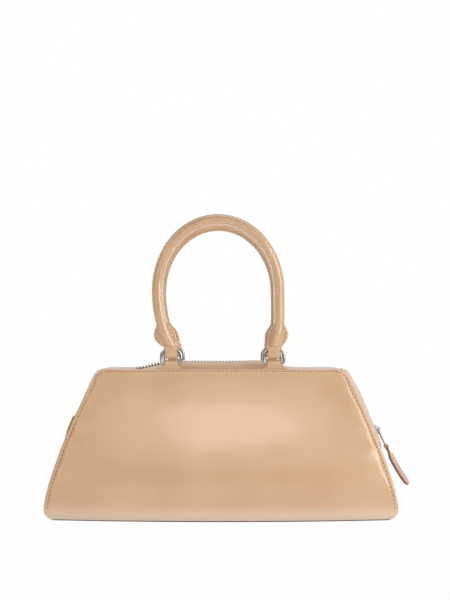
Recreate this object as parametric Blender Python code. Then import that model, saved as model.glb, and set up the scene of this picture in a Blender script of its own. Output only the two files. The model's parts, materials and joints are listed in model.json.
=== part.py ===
"""Structured leather handbag: two bulging panels, a zipped gusset, D-rings and two rolled handles.

X runs along the bag, Y from the front panel (negative) to the rear panel, Z up.
The origin is the middle of the flat underside of the base panel.
"""
import math

import bmesh
import bpy
import numpy as np
from mathutils import Matrix, Vector

# Driving sizes in metres
CLEAR = 0.0003
SEAM_GAP = 0.0009
CUT_OVERRUN = 0.004

BODY_HEIGHT = 0.152
TOP_HALF_LENGTH = 0.1227
BASE_HALF_LENGTH = 0.1773
CORNER_RADIUS = 0.014
UNDER_RADIUS = 0.012
TOP_HALF_DEPTH = 0.050
BASE_HALF_DEPTH = 0.052
BELLY = 0.018

PANEL_WALL = 0.0018
GUSSET_WALL = 0.0014
FLANGE_WIDTH = 0.008
FLANGE_BEND = 0.003
BASE_WALL = 0.0020
BOARD_WALL = 0.0024
BOARD_MARGIN = 0.010
LINING_WALL = 0.0008
LINING_GAP_AT_SEAM = 0.0006
LINING_EASE = 0.0004
LINING_UNDER_TAPE = 0.0022

ZIP_END_HEIGHT = 0.078
ZIP_SHOULDER_DROP = 0.0067
ZIP_SLOT = 0.0100
ZIP_PROUD_RIGHT = 0.0078
ZIP_PROUD_LEFT = 0.0040
ZIP_PROUD_TOP = 0.0006
ZIP_END_SETTLE = 0.0026
ZIP_SWELL = 0.0074
ZIP_SWELL_CENTRE = -0.0075
ZIP_SWELL_REACH = 0.087
GUSSET_DENT = 0.0055
TAPE_WIDTH = 0.0110
TAPE_WALL = 0.0007
TAPE_DROOP = 0.0005
TEETH_WIDTH = 0.0052
TEETH_HEIGHT = 0.0026
TEETH_ROOT = 0.0016
TEETH_PITCH = 0.0040
ZIP_END_MARGIN = 0.0015
ZIP_STOP_LENGTH = 0.0022

CHAPE_SPACING = 0.1032
CHAPE_SHIFT = 0.0016
CHAPE_LEATHER = 0.0014
CHAPE_TAIL = 0.0062
CHAPE_FOLD_WIDTH = 0.0125
CHAPE_SEAM_WIDTH = 0.0270
CHAPE_FLARE = 0.0060

RING_WIRE = 0.0032
RING_WIDTH = 0.0230
RING_HEIGHT = 0.0180
RING_SHOULDER = 0.0080
RING_FOOT = 0.0026
RING_BAR_LIFT = 0.0062

GRIP_DIAMETER = 0.0112
GRIP_WALL = 0.0014
GRIP_SEAM_GAP = 0.0004
ARCH_HALF_WIDTH = 0.0610
ARCH_RISE = 0.0707
ARCH_SPRING_LIFT = 0.0586
ARCH_SHIFT = -0.0030
TAB_SPLAY_LEFT_ANGLE = math.radians(29)
TAB_SPLAY_RIGHT_ANGLE = math.radians(20)
TAB_LENGTH = 0.0230
TAB_WIDTH = 0.0220
TAB_COLLAR_DIAMETER = 0.0130
STRAP_WIDTH = 0.0125
STRAP_WALL = 0.0015
EYE_HALF_WIDTH = 0.0033
EYE_HEAD = 0.0021
EYE_DROP = 0.0088

SLIDER_LENGTH = 0.0105
SLIDER_WING_WALL = 0.0012
SLIDER_LIP_WALL = 0.0010
SLIDER_CROWN_LENGTH = 0.0070
SLIDER_CROWN_WIDTH = 0.0030
SLIDER_CROWN_WALL = 0.0011
CROWN_HOLE = 0.0024
LINK_WIRE = 0.0018
LINK_WIDTH = 0.0104
LINK_CORNER = 0.0016
LINK_LENGTH = 0.0215
LINK_LEAN_ANGLE = math.radians(25)
PULL_LENGTH = 0.0460
PULL_NECK_WIDTH = 0.0052
PULL_NECK_LENGTH = 0.0050
PULL_FLARE = 0.0050
PULL_WIDTH = 0.0115
PULL_LEATHER = 0.0013
PULL_LEAN_ANGLE = math.radians(30)
PULL_POINT = 0.0065
END_COVER_LENGTH = 0.0225
END_COVER_WIDTH = 0.0160
END_COVER_WALL = 0.0014

# Shares, chosen by eye
SIDE_SWELL_SHARE = 1.39
BELLY_HEIGHT_SHARE = 0.84
BELLY_BASE_SHARE = 0.90
TAB_WIDTH_SHARES = ((0.0, 0.60), (0.12, 0.80), (0.24, 0.97), (0.38, 1.0), (0.56, 0.94), (0.78, 0.75), (1.0, 0.60))
PULL_NECK_SHARE = 1.4
CHAPE_NECK_SHARE = 1.25
COLUMN_CROWDING_SHARE = 0.45
PLACES_BETWEEN_SHARES = (-0.2, -0.1, 0, 0.1, 0.2)
PLACES_BEYOND_SHARES = (0.3, 0.65)
STRIP_CROWN_SHARES = (0.30, 0.62, 1.0)
SIDE_CROWN_SHARES = (0.33, 0.68, 1.0)
DENT_START_SHARE = 0.35
DENT_END_SHARE = 0.5
TOOTH_RUN_SHARES = (0.12, 0.62, 0.74)
END_COVER_LENGTH_SHARES = (0, 0.25, 0.5, 0.75, 1)
END_COVER_WIDTH_SHARES = (-1, -0.5, 0, 0.5, 1)
END_COVER_TAPER_SHARE = 0.55

# Counts, angles in degrees and powers of the curves
CORNER_ANGLES = (90, 72, 54, 38)
SEAM_ANGLES = (42, 58, 74, 90)
SIDE_STATIONS = 5
FLARE_POWER = 1.8
TAB_EDGE_POWER = 1.35

MATERIALS = {
    "calf_leather": ((0.645, 0.443, 0.288), 0.28, 0.0),
    "lining_cloth": ((0.30, 0.21, 0.14), 0.85, 0.0),
    "zip_tape": ((0.45, 0.31, 0.20), 0.80, 0.0),
    "polished_steel": ((0.75, 0.75, 0.76), 0.12, 1.0),
    "fibre_board": ((0.22, 0.16, 0.11), 0.9, 0.0),
    "cord": ((0.70, 0.64, 0.52), 0.9, 0.0),
}


def clear_scene():
    for thing in list(bpy.data.objects):
        bpy.data.objects.remove(thing, do_unlink=True)


def material(name):
    made = bpy.data.materials.get(name)
    if made is None:
        colour, roughness, metallic = MATERIALS[name]
        made = bpy.data.materials.new(name)
        made.use_nodes = True
        shader = made.node_tree.nodes["Principled BSDF"]
        shader.inputs["Base Color"].default_value = (*colour, 1.0)
        shader.inputs["Roughness"].default_value = roughness
        shader.inputs["Metallic"].default_value = metallic
    return made


def add_object(name, mesh, finish, parent=None):
    thing = bpy.data.objects.new(name, mesh)
    bpy.context.scene.collection.objects.link(thing)
    mesh.materials.clear()
    mesh.materials.append(material(finish))
    if parent is not None:
        hang(thing, parent)
    return thing


def hang(thing, parent):
    """Parents a piece to the empty on its joint's axis, with its place in the world unchanged."""
    thing.parent = parent
    thing.matrix_parent_inverse = Matrix.Translation(-parent.location)


def finish_mesh(bm, name, smooth=True):
    bmesh.ops.recalc_face_normals(bm, faces=bm.faces)
    mesh = bpy.data.meshes.new(name)
    bm.to_mesh(mesh)
    bm.free()
    if smooth:
        mesh.shade_smooth()
        mesh.set_sharp_from_angle(angle=math.radians(40))
    return mesh


def joint_empty(name, place):
    empty = bpy.data.objects.new(name, None)
    empty.location = place
    bpy.context.scene.collection.objects.link(empty)
    return empty


# Outline of the bag seen from the front
def corner_frame():
    """Turn angle, tangent length and arc centre of the rounded top corner."""
    climb = BODY_HEIGHT - UNDER_RADIUS
    slope = (BASE_HALF_LENGTH - TOP_HALF_LENGTH) / climb * SIDE_SWELL_SHARE
    lean = math.atan(slope)
    turn = math.pi / 2 - lean
    reach = CORNER_RADIUS * math.tan(turn / 2)
    centre_x = TOP_HALF_LENGTH - reach
    centre_z = BODY_HEIGHT - CORNER_RADIUS
    return lean, reach, centre_x, centre_z


def zip_shoulder():
    """Height where the zip's straight run ends, a little below the start of the rounded corner."""
    lean, reach, centre_x, centre_z = corner_frame()
    return BODY_HEIGHT - reach * math.cos(lean) - ZIP_SHOULDER_DROP


def half_length(z):
    """Half length of the panel at a height, with the top corner and the turn under the base."""
    lean, reach, centre_x, centre_z = corner_frame()
    if z < UNDER_RADIUS:
        drop = UNDER_RADIUS - max(z, 0)
        return BASE_HALF_LENGTH - UNDER_RADIUS + math.sqrt(max(UNDER_RADIUS ** 2 - drop ** 2, 0))
    tangent_z = BODY_HEIGHT - reach * math.cos(lean)
    if z > tangent_z:
        rise = min(z - centre_z, CORNER_RADIUS)
        return centre_x + math.sqrt(max(CORNER_RADIUS ** 2 - rise ** 2, 0))
    share = (z - UNDER_RADIUS) / (BODY_HEIGHT - UNDER_RADIUS)
    return BASE_HALF_LENGTH - (BASE_HALF_LENGTH - TOP_HALF_LENGTH) * share ** SIDE_SWELL_SHARE


def edge_half_depth(z):
    """Distance from the middle plane to the panel's outer face along its sewn edge."""
    share = min(max((BODY_HEIGHT - z) / (BODY_HEIGHT - UNDER_RADIUS), 0), 1)
    depth = TOP_HALF_DEPTH + (BASE_HALF_DEPTH - TOP_HALF_DEPTH) * share
    if z < UNDER_RADIUS:
        drop = UNDER_RADIUS - max(z, 0)
        depth += math.sqrt(max(UNDER_RADIUS ** 2 - drop ** 2, 0)) - UNDER_RADIUS
    return depth


def belly(x, z):
    """How far the panel's outer face stands proud of its sewn edge."""
    height = max(z, UNDER_RADIUS)
    share = (BODY_HEIGHT - height) / (BODY_HEIGHT - UNDER_RADIUS)
    if share < BELLY_HEIGHT_SHARE:
        down = math.sin(math.pi / 2 * share / BELLY_HEIGHT_SHARE) ** 2
    else:
        past = (share - BELLY_HEIGHT_SHARE) / (1 - BELLY_HEIGHT_SHARE)
        down = 1 - (1 - BELLY_BASE_SHARE) * past ** 2
    across = max(1 - (x / half_length(height)) ** 2, 0)
    return BELLY * across * down


def face_depth(x, z):
    return edge_half_depth(max(z, UNDER_RADIUS)) + belly(x, z)


# Closed sheets from grids of points
def grid_normals(points):
    """Unit normals of a grid of points, rows by columns, from its own differences."""
    along = np.gradient(points, axis=0)
    across = np.gradient(points, axis=1)
    normal = np.cross(along, across)
    length = np.linalg.norm(normal, axis=2, keepdims=True)
    return normal / np.maximum(length, 1e-12)


def sheet(points, wall, flip, name, first=None, last=None):
    """A closed sheet: the given outer grid, and the same grid moved inwards by the wall.

    first and last give the outward direction of the first and last row where it is known.
    """
    normals = grid_normals(points) * (-1 if flip else 1)
    if first is not None:
        normals[0] = first
    if last is not None:
        normals[-1] = last
    return two_skins(points, points - normals * wall, name)


def two_skins(outer, inner, name, smooth=True):
    rows, columns = outer.shape[:2]
    bm = bmesh.new()
    skins = [[[bm.verts.new(skin[i, j]) for j in range(columns)] for i in range(rows)] for skin in (outer, inner)]
    for skin in skins:
        for i in range(rows - 1):
            for j in range(columns - 1):
                bm.faces.new((skin[i][j], skin[i + 1][j], skin[i + 1][j + 1], skin[i][j + 1]))
    rim = [(i, 0) for i in range(rows)] + [(rows - 1, j) for j in range(1, columns)]
    rim += [(i, columns - 1) for i in range(rows - 2, -1, -1)] + [(0, j) for j in range(columns - 2, 0, -1)]
    for here, there in zip(rim, rim[1:] + rim[:1]):
        a, b = skins[0][here[0]][here[1]], skins[0][there[0]][there[1]]
        c, d = skins[1][there[0]][there[1]], skins[1][here[0]][here[1]]
        bm.faces.new((a, b, c, d))
    return finish_mesh(bm, name, smooth)


def prism(outline, direction, name, smooth=False):
    """A closed outline of points carried along a vector."""
    bm = bmesh.new()
    face = bm.faces.new([bm.verts.new(p) for p in outline])
    moved = bmesh.ops.extrude_face_region(bm, geom=[face])
    verts = [v for v in moved["geom"] if isinstance(v, bmesh.types.BMVert)]
    bmesh.ops.translate(bm, verts=verts, vec=direction)
    return finish_mesh(bm, name, smooth)


def round_skin(bm, path, sides, radius, closed, side_axis):
    """Rings of points round a path that lies in a plane square to side_axis, joined by faces."""
    count = len(path)
    rings = []
    for i, p in enumerate(path):
        before = path[i - 1] if (closed or i > 0) else p
        after = path[(i + 1) % count] if (closed or i < count - 1) else p
        along = (Vector(after) - Vector(before)).normalized()
        out = along.cross(side_axis).normalized()
        angles = [2 * math.pi * (k + 0.5) / sides for k in range(sides)]
        ring = [Vector(p) + out * radius * math.cos(a) + side_axis * radius * math.sin(a) for a in angles]
        rings.append([bm.verts.new(v) for v in ring])
    for a, b in zip(rings, rings[1:] + (rings[:1] if closed else [])):
        band(bm, a, b)
    return rings


def band(bm, a, b):
    """Faces between two rings with as many points."""
    for k in range(len(a)):
        n = (k + 1) % len(a)
        bm.faces.new((a[k], a[n], b[n], b[k]))


def tube(path, sides, radius, name, closed=False, side_axis=Vector((0, 1, 0))):
    """A round bar along a path."""
    bm = bmesh.new()
    rings = round_skin(bm, path, sides, radius, closed, side_axis)
    if not closed:
        bm.faces.new(rings[0])
        bm.faces.new(rings[-1])
    return finish_mesh(bm, name)


def apply_boolean(target, tool, operation):
    """Joins, cuts or keeps with a helper solid, and takes the helper away again."""
    change = target.modifiers.new(operation.lower(), "BOOLEAN")
    change.operation = operation
    change.solver = "EXACT"
    change.object = tool
    graph = bpy.context.evaluated_depsgraph_get()
    made = bpy.data.meshes.new_from_object(target.evaluated_get(graph))
    target.modifiers.remove(change)
    old = target.data
    target.data = made
    bpy.data.meshes.remove(old)
    bpy.data.objects.remove(tool, do_unlink=True)


def helper(mesh):
    thing = bpy.data.objects.new("helper", mesh)
    bpy.context.scene.collection.objects.link(thing)
    return thing


# Front and rear panels
PANEL_COLUMNS = 13
PANEL_ROWS = 9
TURN_STEPS = 4


def panel_grid(side):
    """Outer face, from the top edge down and round under the base. side is -1 at the front."""
    lean, reach, centre_x, centre_z = corner_frame()
    heights = [centre_z + CORNER_RADIUS * math.sin(math.radians(a)) for a in CORNER_ANGLES]
    low, high = UNDER_RADIUS, heights[-1]
    heights += [high + (low - high) * k / PANEL_ROWS for k in range(1, PANEL_ROWS + 1)]
    shares = [math.sin(math.pi / 2 * (2 * k / (PANEL_COLUMNS - 1) - 1)) for k in range(PANEL_COLUMNS)]
    even = [2 * k / (PANEL_COLUMNS - 1) - 1 for k in range(PANEL_COLUMNS)]
    shares = [e + (s - e) * COLUMN_CROWDING_SHARE for s, e in zip(shares, even)]
    rows = []
    for z in heights:
        rows.append([(u * half_length(z), side * face_depth(u * half_length(z), z), z) for u in shares])
    for step in range(1, TURN_STEPS + 1):
        a = math.pi / 2 * step / TURN_STEPS
        inset = UNDER_RADIUS * (1 - math.cos(a))
        z = UNDER_RADIUS * (1 - math.sin(a))
        row = []
        for u in shares:
            x = u * BASE_HALF_LENGTH
            row.append((u * (BASE_HALF_LENGTH - inset), side * (face_depth(x, UNDER_RADIUS) - inset), z))
        rows.append(row)
    return np.array(rows)


def base_edge_depth(u):
    """Half depth of the base at a share of its half length."""
    return face_depth(u * BASE_HALF_LENGTH, UNDER_RADIUS) - UNDER_RADIUS


def make_panel(name, side):
    points = panel_grid(side)
    mesh = sheet(points, PANEL_WALL, side > 0, name, first=(0, side, 0), last=(0, 0, -1))
    return add_object(name, mesh, "calf_leather")


def make_base_panel():
    """Flat leather base, with edges that follow the two panels and the gusset ends."""
    half = BASE_HALF_LENGTH - UNDER_RADIUS - CLEAR
    shares = [2 * k / (PANEL_COLUMNS - 1) - 1 for k in range(PANEL_COLUMNS)]
    front = [(u * half, -(base_edge_depth(u) - CLEAR), 0) for u in shares]
    rear = [(u * half, base_edge_depth(u) - CLEAR, 0) for u in reversed(shares)]
    return add_object("base_panel", prism(front + rear, (0, 0, BASE_WALL), "base_panel"), "calf_leather")


def make_base_board():
    """Stiff board that lies on the base panel, inside the lining."""
    half = BASE_HALF_LENGTH - UNDER_RADIUS - BOARD_MARGIN
    shares = [2 * k / (PANEL_COLUMNS - 1) - 1 for k in range(PANEL_COLUMNS)]
    z = BASE_WALL + CLEAR
    front = [(u * half, -(base_edge_depth(u) - BOARD_MARGIN), z) for u in shares]
    rear = [(u * half, base_edge_depth(u) - BOARD_MARGIN, z) for u in reversed(shares)]
    return add_object("base_board", prism(front + rear, (0, 0, BOARD_WALL), "base_board"), "fibre_board")


# Gusset, zip and their stations along the sewn edge
def chape_places():
    return [CHAPE_SHIFT - CHAPE_SPACING / 2, CHAPE_SHIFT + CHAPE_SPACING / 2]


def edge_stations(low, high):
    """Points of the panel's edge in the XZ plane, from the left over the top to the right."""
    lean, reach, centre_x, centre_z = corner_frame()
    side = [(half_length(z), z) for z in np.linspace(low, high, SIDE_STATIONS)]
    arc = [(centre_x + CORNER_RADIUS * math.cos(a), centre_z + CORNER_RADIUS * math.sin(a))
           for a in np.radians(SEAM_ANGLES)]
    flat = CHAPE_SEAM_WIDTH / 2 + CLEAR
    notch = []
    for place in chape_places():
        notch += [place - flat - FLANGE_BEND, place - flat, place + flat, place + flat + FLANGE_BEND]
    span = chape_places()[1] - chape_places()[0]
    between = [CHAPE_SHIFT + span * share for share in PLACES_BETWEEN_SHARES]
    outer = [notch[-1] + (centre_x - notch[-1]) * share for share in PLACES_BEYOND_SHARES]
    top = sorted(notch + between + outer + [-x for x in outer])
    left = [(-x, z) for x, z in side + arc]
    return left + [(x, BODY_HEIGHT) for x in top] + [(x, z) for x, z in reversed(side + arc)]


def outward(points, i):
    """Unit normal of the edge line at a station, pointing out of the bag."""
    before, after = points[max(i - 1, 0)], points[min(i + 1, len(points) - 1)]
    dx, dz = after[0] - before[0], after[1] - before[1]
    length = math.hypot(dx, dz)
    return -dz / length, dx / length


def smooth_step(t):
    t = min(max(t, 0), 1)
    return t * t * (3 - 2 * t)


def zip_proud(x, z):
    """How far the zip's line stands out from the sewn edges.

    It runs dead straight down each side and settles towards its ends.
    """
    base = ZIP_PROUD_RIGHT if x > 0 else ZIP_PROUD_LEFT
    if z <= zip_shoulder():
        foot, head = half_length(ZIP_END_HEIGHT), half_length(zip_shoulder())
        share = (z - ZIP_END_HEIGHT) / (zip_shoulder() - ZIP_END_HEIGHT)
        chord = foot + (head - foot) * share
        lean = math.atan((foot - head) / (zip_shoulder() - ZIP_END_HEIGHT))
        return base - ZIP_END_SETTLE * (1 - share) - (half_length(z) - chord) * math.cos(lean)
    top = ZIP_PROUD_TOP + ZIP_SWELL * smooth_step(2 * (1 - abs(x - ZIP_SWELL_CENTRE) / ZIP_SWELL_REACH))
    lean, reach, centre_x, centre_z = corner_frame()
    turn = (math.atan2(z - centre_z, max(abs(x) - centre_x, 0)) - lean) / (math.pi / 2 - lean)
    return base + (top - base) * smooth_step(turn)


def notch_depth(x, z):
    """The flange steps back behind each chape by the chape's thickness."""
    if z < BODY_HEIGHT - CLEAR:
        return 0
    flat = CHAPE_SEAM_WIDTH / 2 + CLEAR
    away = min(abs(x - place) for place in chape_places())
    return (2 * CHAPE_LEATHER + CLEAR) * (1 - smooth_step((away - flat) / FLANGE_BEND))


def gusset_row(points, i, side, proud, inner_y):
    """Outer side of one station across: flange, bend, and the crown to inner_y from the middle."""
    x, z = points[i]
    nx, nz = outward(points, i)
    skin = PANEL_WALL + CLEAR + notch_depth(x, z)
    row = []

    def put(depth, lift):
        row.append((x + nx * lift, side * depth, z + nz * lift))

    flange_x, flange_z = x - nx * FLANGE_WIDTH, z - nz * FLANGE_WIDTH
    put(edge_half_depth(z) + belly(flange_x, max(flange_z, 0)) - skin - CLEAR, -FLANGE_WIDTH)
    edge = edge_half_depth(z) - skin
    for turn in (0, 45, 90):
        a = math.radians(turn)
        put(edge - FLANGE_BEND * (1 - math.cos(a)), -FLANGE_BEND * (1 - math.sin(a)))
    start = edge - FLANGE_BEND
    for share in STRIP_CROWN_SHARES:
        depth = start + (inner_y - start) * share
        put(depth, proud * (1 - (depth / start) ** 2))
    return row


def make_gusset_strip(name, side):
    points = edge_stations(ZIP_END_HEIGHT, zip_shoulder())
    rows = [gusset_row(points, i, side, zip_proud(*p), ZIP_SLOT / 2) for i, p in enumerate(points)]
    mesh = sheet(np.array(rows), GUSSET_WALL, side > 0, name)
    return add_object(name, mesh, "calf_leather")


def ridge_line(lift, points=None):
    """The zip's own line in the XZ plane, lifted from the gusset's outer face."""
    points = points or edge_stations(ZIP_END_HEIGHT, zip_shoulder())
    line = []
    for i, (x, z) in enumerate(points):
        nx, nz = outward(points, i)
        start = edge_half_depth(z) - PANEL_WALL - CLEAR - notch_depth(x, z) - FLANGE_BEND
        rise = zip_proud(x, z) * (1 - (ZIP_SLOT / 2 / start) ** 2) + lift
        line.append((x + nx * rise, z + nz * rise))
    return line


def make_tape(name, side):
    """Woven tape sewn under the gusset's slot edge; the teeth are clamped to its inner edge."""
    points = edge_stations(ZIP_END_HEIGHT, zip_shoulder())
    rows = []
    near, far = TEETH_WIDTH / 2 + CLEAR, TEETH_WIDTH / 2 + TAPE_WIDTH
    for i, (x, z) in enumerate(points):
        nx, nz = outward(points, i)
        start = edge_half_depth(z) - PANEL_WALL - CLEAR - notch_depth(x, z) - FLANGE_BEND
        proud = zip_proud(x, z)
        row = []
        for depth in (far, ZIP_SLOT / 2, near):
            cover = max(depth, ZIP_SLOT / 2)
            lift = proud * (1 - (cover / start) ** 2) - GUSSET_WALL - CLEAR
            lift -= TAPE_DROOP if depth == far else 0
            row.append((x + nx * lift, side * depth, z + nz * lift))
        rows.append(row)
    return add_object(name, sheet(np.array(rows), TAPE_WALL, side > 0, name), "zip_tape")


def walk(line, step, start, end):
    """Points, normals and distances at an even step along a polyline."""
    lengths = [math.hypot(b[0] - a[0], b[1] - a[1]) for a, b in zip(line, line[1:])]
    total = sum(lengths)
    first, last = start, total - end
    count = int((last - first) // step)
    out = []
    for k in range(count + 1):
        s = first + k * step
        i = 0
        while i < len(lengths) - 1 and s > lengths[i]:
            s -= lengths[i]
            i += 1
        a, b = line[i], line[i + 1]
        t = s / lengths[i]
        dx, dz = (b[0] - a[0]) / lengths[i], (b[1] - a[1]) / lengths[i]
        out.append(((a[0] + (b[0] - a[0]) * t, a[1] + (b[1] - a[1]) * t), (-dz, dx), (dx, dz)))
    return out


def make_teeth():
    """The closed chain: one ridge for each meshed tooth, along the zip's own line."""
    low = -GUSSET_WALL - CLEAR - TAPE_WALL
    line = ridge_line(low)
    steps = walk(line, TEETH_PITCH, ZIP_END_MARGIN, ZIP_END_MARGIN + ZIP_STOP_LENGTH)
    top, bottom = [], []
    for (x, z), (nx, nz), (tx, tz) in steps[:-1]:
        for run, rise in zip((0, *TOOTH_RUN_SHARES), (TEETH_ROOT, TEETH_HEIGHT, TEETH_HEIGHT, TEETH_ROOT)):
            shift = run * TEETH_PITCH
            top.append((x + tx * shift + nx * rise, -TEETH_WIDTH / 2, z + tz * shift + nz * rise))
        bottom.append((x, -TEETH_WIDTH / 2, z))
    (x, z), (nx, nz), _ = steps[-1]
    top.append((x + nx * TEETH_ROOT, -TEETH_WIDTH / 2, z + nz * TEETH_ROOT))
    bottom.append((x, -TEETH_WIDTH / 2, z))
    mesh = prism(top + bottom[::-1], (0, TEETH_WIDTH, 0), "zip_teeth")
    return add_object("zip_teeth", mesh, "polished_steel")


def make_side_gusset(name, hand):
    """Leather side below the zip's end, folding in a little and turning under the base."""
    heights = list(np.linspace(ZIP_END_HEIGHT - SEAM_GAP, UNDER_RADIUS, 6))
    points = [(half_length(z), z) for z in heights]
    for step in range(1, TURN_STEPS + 1):
        a = math.pi / 2 * step / TURN_STEPS
        inset = UNDER_RADIUS * (1 - math.cos(a))
        points.append((BASE_HALF_LENGTH - inset, UNDER_RADIUS * (1 - math.sin(a))))
    base = (ZIP_PROUD_RIGHT if hand > 0 else ZIP_PROUD_LEFT) - ZIP_END_SETTLE
    climb = ZIP_END_HEIGHT - UNDER_RADIUS
    rows = []
    for i, (x, z) in enumerate(points):
        nx, nz = outward(points, i)
        share = smooth_step((ZIP_END_HEIGHT - z) / (DENT_START_SHARE * climb))
        recover = smooth_step((z - UNDER_RADIUS) / (DENT_END_SHARE * climb))
        proud = base * (1 - share) - GUSSET_DENT * share * recover
        skin = PANEL_WALL + CLEAR
        row = []
        edge = edge_half_depth(z) - skin
        start = edge - FLANGE_BEND
        half = []
        flange_x, flange_z = x - nx * FLANGE_WIDTH, z - nz * FLANGE_WIDTH
        turned = z < UNDER_RADIUS
        flange = FLANGE_BEND if turned else FLANGE_WIDTH
        flange_depth = edge if turned else edge + belly(flange_x, max(flange_z, 0)) - CLEAR
        half.append((flange_depth, -flange - (CLEAR if turned else 0)))
        for turn in (0, 45, 90):
            a = math.radians(turn)
            half.append((edge - FLANGE_BEND * (1 - math.cos(a)), -FLANGE_BEND * (1 - math.sin(a))))
        for share_across in SIDE_CROWN_SHARES:
            depth = start * (1 - share_across)
            half.append((depth, proud * (1 - (depth / start) ** 2)))
        for depth, lift in half:
            row.append((hand * (x + nx * lift), -depth, z + nz * lift))
        for depth, lift in reversed(half[:-1]):
            row.append((hand * (x + nx * lift), depth, z + nz * lift))
        rows.append(row)
    mesh = sheet(np.array(rows), GUSSET_WALL, hand < 0, name, last=(0, 0, -1))
    return add_object(name, mesh, "calf_leather")


# Lining: a front and a rear dish, open along the zip
LINING_SPOKES = 30
LINING_RING_SHARES = (0.15, 0.45, 0.75, 1.0)
LINING_WALL_SHARES = (0.3, 0.65, 1.0)


def lining_outline(floor, edge):
    """Rounded trapezoid inside the flanges, evenly walked by angle from the middle."""
    middle = (BODY_HEIGHT + floor) / 2
    points = []
    for k in range(LINING_SPOKES):
        a = 2 * math.pi * (k + 0.5) / LINING_SPOKES
        low, high = 0, 2 * BASE_HALF_LENGTH
        for _ in range(40):
            reach = (low + high) / 2
            x, z = reach * math.cos(a), middle + reach * math.sin(a)
            inside = floor <= z <= BODY_HEIGHT - edge and abs(x) <= half_length(z) - edge
            low, high = (reach, high) if inside else (low, reach)
        points.append((low * math.cos(a), middle + low * math.sin(a)))
    return middle, points


def lining_depth(x, z, shell, share):
    """Distance of the lining's face from the middle plane. It steps in behind the chapes."""
    step = 2 * CHAPE_LEATHER + CLEAR
    inset = PANEL_WALL + GUSSET_WALL + 2 * CLEAR + shell
    return face_depth(x, z) - inset - (step if share == 1 else 0) - LINING_EASE


def lining_rings(side, shell):
    """Rings of one skin, from the middle of the face to the edge and on to the zip or the seam."""
    floor = BASE_WALL + BOARD_WALL + 2 * CLEAR + shell
    edge = FLANGE_WIDTH + shell
    middle, points = lining_outline(floor, edge)
    rings = []
    for share in LINING_RING_SHARES:
        ring = []
        for x, z in points:
            px, pz = x * share, middle + (z - middle) * share
            ring.append((px, side * lining_depth(px, pz, shell, share), pz))
        rings.append(ring)
    for share in LINING_WALL_SHARES:
        ring = []
        for x, z in points:
            depth = lining_depth(x, z, shell, 1)
            if z < ZIP_END_HEIGHT + shell:
                ring.append((x, side * (depth + (LINING_GAP_AT_SEAM / 2 - depth) * share), z))
                continue
            y = depth + (ZIP_SLOT - depth) * share
            nx, nz = lining_way_out(x, z, edge)
            rise = FLANGE_WIDTH + crown_lift(x + nx * edge, z + nz * edge, y)
            rise -= GUSSET_WALL + TAPE_WALL + LINING_UNDER_TAPE
            ring.append((x + nx * rise, side * y, z + nz * rise))
        rings.append(ring)
    return rings


def lining_way_out(x, z, edge):
    """Direction from the lining's outline towards the gusset."""
    if z > BODY_HEIGHT - edge - CLEAR:
        return 0, 1
    probe = CORNER_RADIUS
    slope = (half_length(z - probe / 2) - half_length(z + probe / 2)) / probe
    length = math.hypot(1, slope)
    return math.copysign(1 / length, x), slope / length


def crown_lift(x, z, y):
    """Height of the gusset's outer face over the sewn edges, at a distance from the middle plane."""
    start = edge_half_depth(z) - PANEL_WALL - CLEAR - notch_depth(x, z) - FLANGE_BEND
    return zip_proud(x, min(z, BODY_HEIGHT)) * max(1 - (y / start) ** 2, 0)


def make_lining(name, side):
    bm = bmesh.new()
    skins = [[[bm.verts.new(p) for p in ring] for ring in lining_rings(side, shell)]
             for shell in (0, LINING_WALL)]
    for rings in skins:
        bm.faces.new(rings[0])
        for a, b in zip(rings, rings[1:]):
            band(bm, a, b)
    band(bm, skins[0][-1], skins[1][-1])
    return add_object(name, finish_mesh(bm, name), "lining_cloth")


# Chapes and D-rings
def bar_height():
    return BODY_HEIGHT + RING_BAR_LIFT


def bar_depth():
    """Distance of the ring's bar and of the chape's middle from the middle plane."""
    return TOP_HALF_DEPTH - PANEL_WALL - CLEAR - CHAPE_LEATHER


def arc_height():
    return bar_height() + RING_HEIGHT - RING_WIRE


def chape_profile(x, side):
    """Strap folded round the ring's bar: a round head on a flat two-layer tail, in the YZ plane."""
    head = RING_WIRE / 2 + CLEAR + CHAPE_LEATHER
    depth, z = bar_depth(), bar_height()
    low = BODY_HEIGHT - CHAPE_TAIL
    neck = z - head * CHAPE_NECK_SHARE
    points = [(x, side * (depth - CHAPE_LEATHER), low), (x, side * (depth + CHAPE_LEATHER), low)]
    points.append((x, side * (depth + CHAPE_LEATHER), neck))
    for turn in range(-40, 221, 20):
        a = math.radians(turn)
        points.append((x, side * (depth + head * math.cos(a)), z + head * math.sin(a)))
    points.append((x, side * (depth - CHAPE_LEATHER), neck))
    return points


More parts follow.
